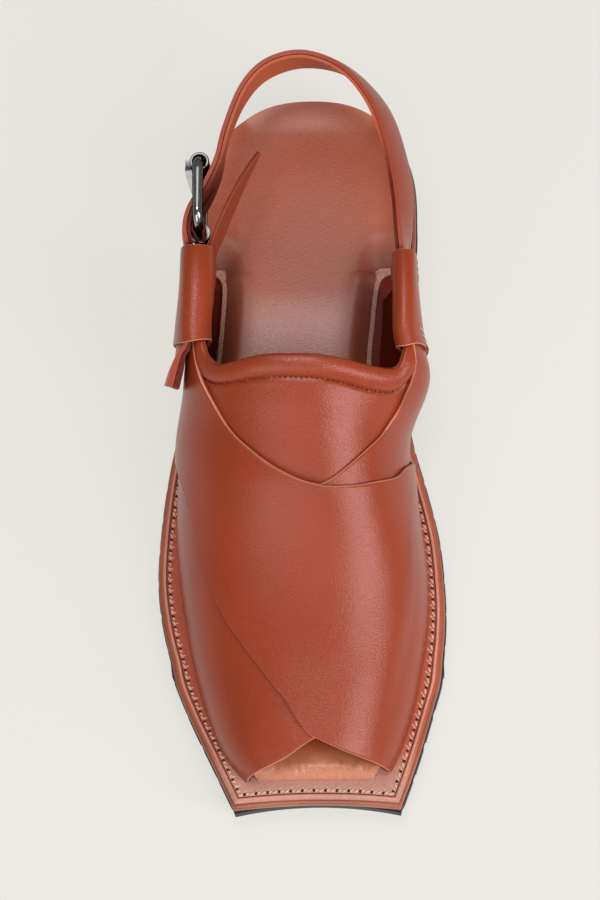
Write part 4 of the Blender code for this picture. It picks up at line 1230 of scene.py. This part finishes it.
def make_under_panel():
    mesh = strip_mesh(
        UNDER_PANEL,
        (150, 64),
        lambda along, across, ahead, girth: PANEL_LIFT,
        lambda along, across, ahead, girth: PANEL_LIFT + PANEL + ripple(ahead, girth, 0.12),
        EDGE_ROUND,
        EDGE_WEAR_HIGHLIGHT,
    )
    set_piece("under_panel", mesh, UPPER_LOOKS, ["upper"])


def make_over_panel():
    def low(along, across, ahead, girth):
        return PANEL_LIFT + CROSSING_LIFT * crossing(ahead, girth)

    def high(along, across, ahead, girth):
        return low(along, across, ahead, girth) + PANEL + ripple(ahead, girth, 0.15)

    mesh = strip_mesh(OVER_PANEL, (150, 68), low, high, EDGE_ROUND, EDGE_WEAR_HIGHLIGHT)
    set_piece("over_panel", mesh, UPPER_LOOKS, ["upper"])


# The tongue's rolled top edge, from its outer end to its inner end, and the dome below it
ROLL_WIDTHS, ROLL_HEIGHT, ROLL_FULLNESS = (8.0, 9.4), 1.9, 0.6
TONGUE_DOME, DOME_RISE, SEAM_SINK, SEAM_WIDTH = 0.6, 0.8, 0.8, 0.8
SEAM_START, SEAM_END, SEAM_SLANT, THREAD_LIFT = 0.06, 0.94, -32, 0.25


def make_tongue():
    """The tongue with its top edge rolled and sewn down, and the row of stitches."""

    def high(along, across, ahead, girth):
        roll = mix(*ROLL_WIDTHS, along)
        down = across * rib_length(TONGUE_RIBS, along) / roll
        round_roll = math.sin(math.pi * clamp(down)) ** ROLL_FULLNESS
        swell = ROLL_HEIGHT * round_roll if down < 1 else 0.0
        dome = TONGUE_DOME * ease((down - 1) * DOME_RISE) * math.sin(math.pi * clamp(along))
        sink = SEAM_SINK * math.exp(-(((down - 1) * roll / SEAM_WIDTH) ** 2))
        return TONGUE + swell + dome - sink + ripple(ahead, girth, 0.1)

    mesh = strip_mesh(TONGUE_RIBS, (150, 90), lambda *place: 0.0, high)
    looks = ("upper grain", "upper grain", "upper lining")
    set_piece("rolled_tongue", mesh, looks, ["tongue"], rounded=0.5)
    path = []
    for along in steps(SEAM_START, SEAM_END, 160):
        across = mix(*ROLL_WIDTHS, along) / rib_length(TONGUE_RIBS, along)
        ahead, girth = rib_place(TONGUE_RIBS, along, across)
        point, _, outward = last_frame(ahead, girth)
        path.append((point + outward * (TONGUE - SEAM_SINK + THREAD_LIFT), outward))
    # The tongue's stitches take the dark thread finish: painted shade in the seam under the roll
    sizes = bpy.context.scene.chappal_stitching
    size = (sizes.tongue_pitch * 0.95, sizes.thread * 0.7, sizes.thread * 0.7)
    threads = thread_mesh(seam_frames(path, sizes.tongue_pitch, SEAM_SLANT), size)
    set_piece("tongue_stitches", threads, ("dark thread",))


# Keepers, strap and buckle


def keeper_point(side, ahead, wrap, share, grow):
    """A point of a keeper's wall, grown out from its inner face, at a share round its section."""
    bend = blend(wrap, share)
    turn = Vector(blend(wrap, share + 0.01)) - Vector(blend(wrap, share - 0.01))
    turn.normalize()
    return wing_point(side, ahead, bend.rise + turn.y * grow, bend.lift - turn.x * grow)


def make_keeper(name, node, side, ends, cut, wrap):
    """A leather band folded over a wing, its front edge cut back down its outer wall."""

    def at(grow):
        def point(ahead, share):
            down = ease((share - CUT_START) / CUT_RUN)
            ahead -= cut * down * (ahead - ends[0]) / (ends[1] - ends[0])
            return keeper_point(side, ahead, wrap, share, grow)

        return point

    mesh = sheet_mesh(steps(*ends, 26), steps(0, 1, 80), at(0.0), at(KEEPER))
    set_piece(name, mesh, UPPER_LOOKS, [node], rounded=0.3)


def make_keepers():
    make_keeper("medial_keeper_wrap", "keeper_medial", MEDIAL, MEDIAL_KEEPER, MEDIAL_CUT, MEDIAL_WRAP)
    make_keeper("lateral_keeper_wrap", "keeper_lateral", LATERAL, LATERAL_KEEPER, LATERAL_CUT, LATERAL_WRAP)


# (ahead, rise) of each thread's middle, how far the dark thread lies ahead of the pale one, how far
# a thread's lower end lies ahead of its middle and below it, and how far they stand off the leather
BAR_TACKS = ((84.5, -6.0), (87.0, -6.6), (89.5, -7.2), (112.0, -6.0), (114.4, -6.6), (116.8, -7.2))
TACK_PARTING, TACK_LEAN, TACK_DROP, TACK_LIFT = 0.9, 1.2, 3.0, 0.1


def make_bar_tacks():
    """Two clusters of three slanted threads that close the medial keeper on its outer side."""
    lift = MEDIAL_WRAP[-1].lift + KEEPER + TACK_LIFT

    def tack(ahead, rise, shift):
        top = wing_point(MEDIAL, ahead + shift - TACK_LEAN, rise + TACK_DROP, lift)
        foot = wing_point(MEDIAL, ahead + shift + TACK_LEAN, rise - TACK_DROP, lift)
        _, _, outward = last_frame(ahead, wing_girth(MEDIAL, ahead, rise))
        return (top + foot) / 2, foot - top, outward

    pale = [tack(ahead, rise, 0.0) for ahead, rise in BAR_TACKS]
    dark = [tack(ahead, rise, TACK_PARTING) for ahead, rise in BAR_TACKS]
    mesh = thread_mesh(pale, (7.0, 0.8, 0.7))
    mesh = thread_mesh(dark, (6.6, 0.6, 0.5), 1, mesh)
    set_piece("keeper_bar_tacks", mesh, ("pale thread", "dark thread"))


def wing_lines(side, aheads, lift, rises):
    return [wing_line(side, ahead, lift, rises) for ahead in aheads]


def free_lines(rows):
    return [free_line(row) for row in rows]


def strap_lines():
    """The strap's lines, from inside the medial keeper round the heel to its free end."""
    lines = wing_lines(MEDIAL, STRAP_IN_MEDIAL_KEEPER, STRAP_INSIDE, MEDIAL_RISES)
    lines += free_lines(STRAP_ROUND_HEEL)
    lines += wing_lines(LATERAL, STRAP_IN_LATERAL_KEEPER, STRAP_OUTSIDE, LATERAL_RISES)
    return lines + free_lines(STRAP_TAIL)


def band_mesh(lines, along, across, low, high):
    """A strap between two offsets from its middle surface, each a function of (share, depth)."""

    def at(offset):
        def point(share, depth):
            middle, _, outward = strap_frame(lines, share, depth)
            return middle + outward * offset(share, depth)

        return point

    return sheet_mesh(along, across, at(low), at(high))


def even_band(lines, along, across, thickness):
    """A strap of one thickness, half of it on each side of its middle surface."""
    half = thickness / 2
    return band_mesh(lines, along, across, lambda share, depth: -half, lambda share, depth: half)


# How far to either side of the buckle's middle a cut through strap or loop reaches
CUT_REACH = 9


def cut_box(piece, low, high):
    """Cuts a box out of a piece for good."""
    mesh = bmesh.new()
    bmesh.ops.create_cube(mesh, size=1.0)
    low, high = Vector(low) * MM, Vector(high) * MM
    for vert in mesh.verts:
        vert.co = (low + high) / 2 + Vector(a * b for a, b in zip(vert.co, high - low))
    cutter = add_object("cutter", mesh_data("cutter", mesh))
    cut = piece.modifiers.new("cut", "BOOLEAN")
    cut.operation, cut.solver, cut.object = "DIFFERENCE", "EXACT", cutter
    bpy.context.view_layer.objects.active = piece
    piece.modifiers.move(len(piece.modifiers) - 1, 0)
    bpy.ops.object.modifier_apply(modifier="cut")
    bpy.data.objects.remove(cutter)


# The groove along the edges between the plies: its depth, and how far in it reaches
LEATHER_PLY, PLY_GAP, PLY_GROOVE = 1.55, 0.3, 2.5
# How far the grain ply bulges along its middle
CROWN = 0.55
# Where the plies thicken towards the strap's free end, and how much of that lifts their meeting
PARTING_START, PARTING_RUN, PARTING_LIFT = 0.93, 0.05, 0.12
LINING_INSET = 0.02


def thicker(share):
    """How much thicker each ply is towards the strap's free end."""
    return ease((share - PARTING_START) / PARTING_RUN)


def crown(share, depth):
    """The outer face of the grain ply."""
    return STRAP / 2 + CROWN * (1 - (2 * depth - 1) ** 2) + thicker(share)


def meeting(share, depth):
    """Where the grain ply's inner face lies."""
    return STRAP / 2 - LEATHER_PLY + PARTING_LIFT * thicker(share)


def lining_back(share, depth):
    """The plies meet at the middle and leave a groove along each edge."""
    from_edge = min(depth, 1 - depth) * STRAP_HEIGHT
    return meeting(share, depth) - PLY_GAP * ease(1 - from_edge / PLY_GROOVE)


def lining_face(share, depth):
    """The lining's face, towards the heel."""
    return -STRAP / 2 - thicker(share)


def make_strap_ply(name, mesh, looks, rounded):
    """One ply of the strap, with the slot for the prong cut through it."""
    piece = set_piece(name, mesh, looks, ["heel_strap"], rounded)
    low = (FRAME_X - CUT_REACH, HEEL_TREAD - STRAP_HOLE_END, FRAME_Z - STRAP_HOLE / 2)
    high = (FRAME_X + CUT_REACH, HEEL_TREAD - STRAP_HOLE_START, FRAME_Z + STRAP_HOLE / 2)
    cut_box(piece, low, high)


def make_heel_strap():
    """Two plies sewn edge to edge: grain leather outside and a softer lining inside."""
    lines = strap_lines()
    along, across = steps(0, 1, 230), steps(0, 1, 14)
    outer = band_mesh(lines, along, across, meeting, crown)
    make_strap_ply("strap_grain_ply", outer, ("strap grain", "strap edge", "strap lining"), 0.45)
    # The lining ply's finish turns dark towards the buckle: painted shade
    inset = [mix(LINING_INSET, 1 - LINING_INSET, depth) for depth in across]
    lining = band_mesh(lines, along, inset, lining_face, lining_back)
    make_strap_ply("strap_lining_ply", lining, ("strap lining",) * 3 + ("worn corner",), 0.22)


def make_buckle_frame():
    """A bar bent to an oblong with round corners, upright along the foot and widest at the back."""
    half_length, half_height = FRAME_LENGTH / 2 - FRAME_CORNER, FRAME_HEIGHT / 2 - FRAME_CORNER
    middle = FRAME_BACK + FRAME_LENGTH / 2
    corner_steps = 18

    def place(turn, angle):
        quarter, step = divmod(round(turn * 4 * corner_steps), corner_steps)
        swing = (quarter + step / (corner_steps - 1)) * math.pi / 2
        front = 1 if quarter in (0, 3) else -1
        top = 1 if quarter in (0, 1) else -1
        roll = 2 * math.pi * angle
        reach = FRAME_CORNER + BAR / 2 * math.cos(roll)
        ahead = middle + front * half_length + reach * math.cos(swing)
        up = top * half_height + reach * math.sin(swing)
        half_width = mix(BACK_BAR, BAR, (ahead - FRAME_BACK) / FRAME_LENGTH) / 2
        return FRAME_X + half_width * math.sin(roll), HEEL_TREAD - ahead, FRAME_Z + up

    mesh = tube_mesh(4 * corner_steps, 24, place)
    set_piece("nickel_frame", mesh, ("dark nickel",), ["buckle_frame"])


def make_buckle_roller():
    """A sleeve on the frame's back bar, its ends rounded over."""
    inner, outer = BACK_BAR / 2 + GAP, ROLLER / 2
    half = ROLLER_LENGTH / 2
    bore, rim = 0.3, 0.4
    corners = (
        (inner, -half + bore), (inner + bore, -half), (outer - rim, -half), (outer, -half + rim),
        (outer, half - rim), (outer - rim, half), (inner + bore, half), (inner, half - bore),
    )

    def place(turn, angle):
        reach, up = corners[round(len(corners) * angle) % len(corners)]
        swing = 2 * math.pi * turn
        x, y = reach * math.cos(swing), reach * math.sin(swing)
        return FRAME_X + x, HEEL_TREAD - FRAME_BACK + y, FRAME_Z + up

    mesh = tube_mesh(48, len(corners), place)
    set_piece("nickel_roller", mesh, ("dark nickel",), ["buckle_roller"])


Spot = namedtuple("Spot", "x ahead")


def round_front_bar(start, end, step):
    """Spots just off the frame's front bar, from one angle to another."""
    reach = BAR / 2 + GAP
    front = FRAME_BACK + FRAME_LENGTH
    angles = [math.radians(angle) for angle in range(start, end, step)]
    return [Spot(FRAME_X + reach * math.cos(a), front + reach * math.sin(a)) for a in angles]


def make_buckle_prong():
    """A flat bar hinged on the frame's front bar, through the strap to the roller's outer side."""
    front = FRAME_BACK + FRAME_LENGTH
    rest = FRAME_X - ROLLER / 2 - GAP - PRONG
    route = round_front_bar(150, -91, -30)
    route += [Spot(FRAME_X - outward, front - behind) for outward, behind in PRONG_BENDS]
    route += [Spot(rest, front - PRONG_LEVEL), Spot(rest, FRAME_BACK), Spot(rest, FRAME_BACK - PRONG_TIP)]

    def at(grow):
        def point(share, across):
            spot = Vector(blend(route, share))
            turn = (Vector(blend(route, share + 0.01)) - Vector(blend(route, share - 0.01))).normalized()
            spot += Vector((-turn.y, turn.x)) * grow
            taper = mix(1.0, PRONG_TAPER, ease((share - PRONG_TAPER_START) / (1 - PRONG_TAPER_START)))
            return spot.x, HEEL_TREAD - spot.y, FRAME_Z + across * taper * PRONG_WIDTH / 2

        return point

    mesh = sheet_mesh(steps(0, 1, 90), steps(-1, 1, 4), at(0.0), at(PRONG + PRONG_SWELL))
    set_piece("nickel_prong", mesh, PRONG_LOOKS, ["buckle_prong"], rounded=0.45)


PRONG_SLOT, SLOT_DEPTH = 4.2, 5


def make_buckle_chape():
    """A leather loop round the frame's front bar, its ends held together inside the keeper."""
    half = (CHAPE + CHAPE_PART) / 2
    inner = wing_lines(LATERAL, CHAPE_LEGS, CHAPE_LIFT - half, CHAPE_RISES)
    outer = wing_lines(LATERAL, CHAPE_LEGS, CHAPE_LIFT + half, CHAPE_RISES)
    swell = (BAR / 2 + GAP + CHAPE / 2) / (BAR / 2 + GAP)
    front = FRAME_BACK + FRAME_LENGTH
    low, high = FRAME_Z - CHAPE_WIDTH / 2, FRAME_Z + CHAPE_WIDTH / 2
    loop = []
    for spot in round_front_bar(40, -221, -13):
        x, ahead = mix(FRAME_X, spot.x, swell), mix(front, spot.ahead, swell)
        loop.append(free_line(Row(x, ahead, high, x, ahead, low)))
    lines = inner + loop + outer[::-1]
    mesh = even_band(lines, steps(0, 1, len(lines) - 1), steps(0, 1, 10), CHAPE)
    # The loop's dark finish is painted shade round the front bar
    piece = set_piece("buckle_loop", mesh, SHADED_LOOP_LOOKS, ["buckle_chape"], rounded=0.2)
    y = HEEL_TREAD - front
    corner = (FRAME_X - CUT_REACH, y - SLOT_DEPTH, FRAME_Z - PRONG_SLOT / 2)
    cut_box(piece, corner, (FRAME_X + CUT_REACH, y + SLOT_DEPTH, FRAME_Z + PRONG_SLOT / 2))


def make_underlay_tab():
    """A pointed tab that keeps the buckle off the foot, rough side inwards."""
    lines = wing_lines(LATERAL, TAB_LEGS, TAB_LIFT, TAB_RISES) + free_lines(TAB_BEYOND_KEEPER)
    mesh = even_band(lines, steps(0, 1, 80), steps(0, 1, 14), TAB)
    looks = ("upper grain", "upper cut edge", "rough side", "worn corner")
    set_piece("buckle_tab", mesh, looks, ["underlay_tab"], rounded=0.25)


# Stage, in metres

# Half the floor's width, and how far it lies under the tread
FLOOR_REACH, FLOOR_DROP = 9.0, 0.0002
# A pair's middle lies this far beyond the shoe's inner side, behind its middle and over the floor
HALF_PAIR_GAP, PAIR_BEHIND, PAIR_LEVEL = 0.00275, 0.0036, 0.020
AIM_LEVEL = 0.022
LIT_PLACE = (0.0, -0.11, 0.04)
WHITE, ROSE = (1.0, 1.0, 1.0), (1.0, 0.95, 0.98)
# Where each softbox hangs, its two sides, its power as a share of the key light, its colour
Softbox = namedtuple("Softbox", "name at sides share colour")
SOFTBOXES = table_of(
    Softbox,
    ("key_softbox", (0.89, -0.71, 0.94), (1.2, 0.42), 1.0, ROSE),
    ("front_softbox", (-0.46, -1.24, 0.92), (1.1, 1.0), 0.56, WHITE),
    ("back_softbox", (-0.08, 0.32, 1.58), (0.9, 0.9), 0.25, WHITE),
    ("top_softbox", (-0.03, -0.02, 1.6), (0.4, 0.25), 0.4, WHITE),
)


def make_floor():
    mesh = bmesh.new()
    bmesh.ops.create_grid(mesh, x_segments=8, y_segments=8, size=FLOOR_REACH)
    data = mesh_data("studio_floor", mesh)
    data.materials.append(finish("studio floor"))
    floor = add_object("studio_floor", data)
    floor.location.z = -FLOOR_DROP


def aim(obj, at, target):
    """Places a lamp or the camera and turns it to a target, its top towards the shoe's heel."""
    back = (Vector(at) - Vector(target)).normalized()
    right = Vector((0.0, 1.0, 0.0)).cross(back).normalized()
    obj.location = at
    obj.rotation_mode = "QUATERNION"
    obj.rotation_quaternion = Matrix((right, back.cross(right), back)).transposed().to_quaternion()


def make_softbox(box, key):
    light = bpy.data.lights.new(box.name, "AREA")
    light.shape = "RECTANGLE"
    light.size, light.size_y = box.sides
    light.energy = key * box.share
    light.color = box.colour
    aim(add_object(box.name, light), box.at, LIT_PLACE)


def make_camera():
    """Stands over the middle of a pair of which this is the one shoe, and looks at the shoe."""
    settings = bpy.context.scene.chappal_stage
    low, high = CAD_BOUNDS
    middle = (low + high) / 2
    lens = bpy.data.cameras.new("camera")
    lens.sensor_width = 36.0
    lens.lens = settings.lens
    camera = add_object("camera", lens)
    lean = settings.tilt
    back = Vector((0.0, -math.sin(lean), math.cos(lean))) * settings.distance
    pair_middle = Vector((high.x + HALF_PAIR_GAP, middle.y + PAIR_BEHIND, PAIR_LEVEL))
    aim(camera, pair_middle + back, Vector((middle.x, middle.y, AIM_LEVEL)))
    bpy.context.scene.camera = camera


def make_light():
    """The room's even light and the softboxes."""
    settings = bpy.context.scene.chappal_stage
    world = bpy.data.worlds.new("studio")
    world.use_nodes = True
    sky = world.node_tree.nodes["Background"]
    sky.inputs["Color"].default_value = (*WHITE, 1.0)
    sky.inputs["Strength"].default_value = settings.fill
    bpy.context.scene.world = world
    for box in SOFTBOXES:
        make_softbox(box, settings.key)


# What a user may change in the sidebar


def colour_property(name, description, default):
    return bpy.props.FloatVectorProperty(
        name=name, description=description, subtype="COLOR", size=3, min=0.0, max=1.0, default=default
    )


class ChappalColours(bpy.types.PropertyGroup):
    upper: colour_property("Upper", "Grain side of the panels, tongue and strap", (0.345, 0.0495, 0.0142))
    edge: colour_property("Cut edges", "Stained cut edges of the panels", (0.24, 0.04, 0.018))
    # The worn corners' colour is lighter for rubbing and as a painted highlight along the rounded edges
    worn: colour_property("Worn corners", "Rubbed corners of the cut edges", (0.66, 0.24, 0.14))
    # The panels' real lining colour, used too as painted shade on the welt, the strap's inside and the
    # buckle loop
    lining: colour_property("Lining", "Inside of the panels", (0.13, 0.013, 0.006))
    strap_lining: colour_property("Strap lining", "Inner ply of the heel strap", (0.54, 0.12, 0.05))
    strap_edge: colour_property("Strap edge", "Burnished edge of the heel strap", (0.38, 0.065, 0.03))
    footbed: colour_property("Footbed", "Padded leather under the foot", (0.48, 0.096, 0.03))
    footbed_front: colour_property("Footbed front", "Stretched leather at its front", (0.62, 0.215, 0.10))
    footbed_edge: colour_property("Footbed edge", "Raw cut edge at the notches", (0.50, 0.24, 0.18))
    welt: colour_property("Welt", "Leather that carries the stitching", (0.50, 0.11, 0.06))
    # The welt front colour is the welt leather made paler before the toes: a painted highlight
    welt_front_light: colour_property("Welt front", "The same leather before the toes", (0.60, 0.31, 0.235))
    # The bead colour is a painted highlight on the welt's rounded rib
    bead: colour_property("Bead", "Pale rib round the welt", (0.66, 0.30, 0.21))
    # The grooves' dark colour is painted shade in them
    groove: colour_property("Grooves", "Stained grooves beside the bead", (0.22, 0.035, 0.02))
    board: colour_property("Edge stain", "Burnished edge of the midsole", (0.40, 0.12, 0.06))
    rough_side: colour_property("Rough side", "Unpolished side of the buckle tab", (0.20, 0.035, 0.02))
    rubber: colour_property("Rubber", "Outsole and heel", (0.022, 0.023, 0.026))
    metal: colour_property("Metal", "Buckle plating", (0.40, 0.395, 0.39))
    welt_thread: colour_property("Welt thread", "Thread round the welt", (0.82, 0.52, 0.40))
    # The tongue thread's dark colour is painted shade in the seam under the roll
    tongue_thread_shade: colour_property("Tongue thread", "Thread under the roll", (0.06, 0.012, 0.008))
    # The awl holes' colour is painted shade inside the holes
    hole: colour_property("Awl holes", "Holes between welt stitches", (0.04, 0.012, 0.008))
    floor: colour_property("Floor", "Studio floor", (0.20, 0.195, 0.184))


def length_property(name, description, default, low, high):
    return bpy.props.FloatProperty(
        name=name, description=description + ", in millimetres", default=default, min=low, max=high
    )


class ChappalStitching(bpy.types.PropertyGroup):
    welt_pitch: length_property("Welt pitch", "From one welt stitch to the next", 4.4, 3.0, 7.0)
    welt_inset: length_property("Welt inset", "From the welt's edge to its stitches", 3.4, 3.2, 4.0)
    tongue_pitch: length_property("Tongue pitch", "From one tongue stitch to the next", 2.0, 1.5, 4.0)
    thread: length_property("Thread", "Thickness of the welt thread", 0.95, 0.5, 1.4)


class ChappalStage(bpy.types.PropertyGroup):
    key: bpy.props.FloatProperty(
        name="Key light", description="Power of the main softbox", unit="POWER", default=12.7, min=0.0
    )
    fill: bpy.props.FloatProperty(
        name="Fill", description="Brightness of the room's even light", default=0.15, min=0.0
    )
    table_glow: bpy.props.FloatProperty(
        name="Table glow", description="Light from within the pale table", default=3.2, min=0.0
    )
    distance: bpy.props.FloatProperty(
        name="Camera distance", description="From camera to shoe", unit="LENGTH", default=1.3, min=0.3
    )
    tilt: bpy.props.FloatProperty(
        name="Camera tilt", description="Lean of the camera from straight above, towards the toe",
        unit="ROTATION", default=math.radians(16.5), min=0.0,
    )
    lens: bpy.props.FloatProperty(
        name="Lens", description="Focal length on a 36 mm sensor", default=133.0, min=20.0
    )


# Operators, one for each piece or group of like pieces


class ChappalStep(bpy.types.Operator):
    """Base of the steps that build the chappal"""

    bl_idname = "chappal.step"
    bl_label = "Chappal Step"
    makers = ()

    def execute(self, context):
        for make in self.makers:
            make()
        return {"FINISHED"}


class CHAPPAL_OT_rubber(ChappalStep):
    """Moulds the rubber outsole with its cross bars, and the heel block"""

    bl_idname = "chappal.make_rubber"
    bl_label = "Rubber Sole"
    makers = (make_outsole, make_heel_block)


class CHAPPAL_OT_welt(ChappalStep):
    """Cuts the midsole and the welt, and sews the welt round the forefoot"""

    bl_idname = "chappal.make_welt"
    bl_label = "Midsole and Welt"
    makers = (make_midsole, make_welt, make_welt_stitching)


class CHAPPAL_OT_footbed(ChappalStep):
    """Lays the padded footbed with its notches beside the wings"""

    bl_idname = "chappal.make_footbed"
    bl_label = "Footbed"
    makers = (make_footbed,)


class CHAPPAL_OT_panels(ChappalStep):
    """Pulls the two crossed panels over the last"""

    bl_idname = "chappal.make_panels"
    bl_label = "Crossed Panels"
    makers = (make_under_panel, make_over_panel)


class CHAPPAL_OT_tongue(ChappalStep):
    """Makes the tongue with its rolled and stitched top edge"""

    bl_idname = "chappal.make_tongue"
    bl_label = "Tongue"
    makers = (make_tongue,)


class CHAPPAL_OT_keepers(ChappalStep):
    """Wraps the two leather keepers over the wings and tacks the medial one"""

    bl_idname = "chappal.make_keepers"
    bl_label = "Keepers"
    makers = (make_keepers, make_bar_tacks)


class CHAPPAL_OT_strap(ChappalStep):
    """Makes the two-ply heel strap with its slot for the prong"""

    bl_idname = "chappal.make_strap"
    bl_label = "Heel Strap"
    makers = (make_heel_strap,)


class CHAPPAL_OT_buckle(ChappalStep):
    """Makes the buckle's frame, roller and prong, and the leather that holds it"""

    bl_idname = "chappal.make_buckle"
    bl_label = "Buckle"
    makers = (
        make_buckle_frame, make_buckle_roller, make_buckle_prong, make_buckle_chape, make_underlay_tab
    )


class CHAPPAL_OT_stage(ChappalStep):
    """Sets the pale floor, the softboxes and the camera"""

    bl_idname = "chappal.make_stage"
    bl_label = "Studio"
    makers = (make_floor, make_light, make_camera)


STEPS = (
    CHAPPAL_OT_rubber, CHAPPAL_OT_welt, CHAPPAL_OT_footbed, CHAPPAL_OT_panels, CHAPPAL_OT_tongue,
    CHAPPAL_OT_keepers, CHAPPAL_OT_strap, CHAPPAL_OT_buckle, CHAPPAL_OT_stage,
)
GROUPS = {
    "chappal_colours": ChappalColours,
    "chappal_stitching": ChappalStitching,
    "chappal_stage": ChappalStage,
}


class CHAPPAL_PT_steps(bpy.types.Panel):
    """Lists the chappal's sizes, colours and steps"""

    bl_label = "Chappal"
    bl_space_type = "VIEW_3D"
    bl_region_type = "UI"
    bl_category = "Chappal"

    def draw(self, context):
        for group in GROUPS:
            settings = getattr(context.scene, group)
            box = self.layout.box()
            for name in settings.__annotations__:
                box.prop(settings, name)
        for step in STEPS:
            self.layout.operator(step.bl_idname)


CLASSES = (*GROUPS.values(), *STEPS, CHAPPAL_PT_steps)


def register():
    for made in CLASSES:
        bpy.utils.register_class(made)
    for name, group in GROUPS.items():
        setattr(bpy.types.Scene, name, bpy.props.PointerProperty(type=group))


def unregister():
    for name in GROUPS:
        delattr(bpy.types.Scene, name)
    for made in reversed(CLASSES):
        bpy.utils.unregister_class(made)


def main():
    register()
    bpy.context.scene.view_settings.view_transform = "Standard"
    for step in STEPS:
        group, name = step.bl_idname.split(".")
        getattr(getattr(bpy.ops, group), name)()


if __name__ == "__main__":
    main()
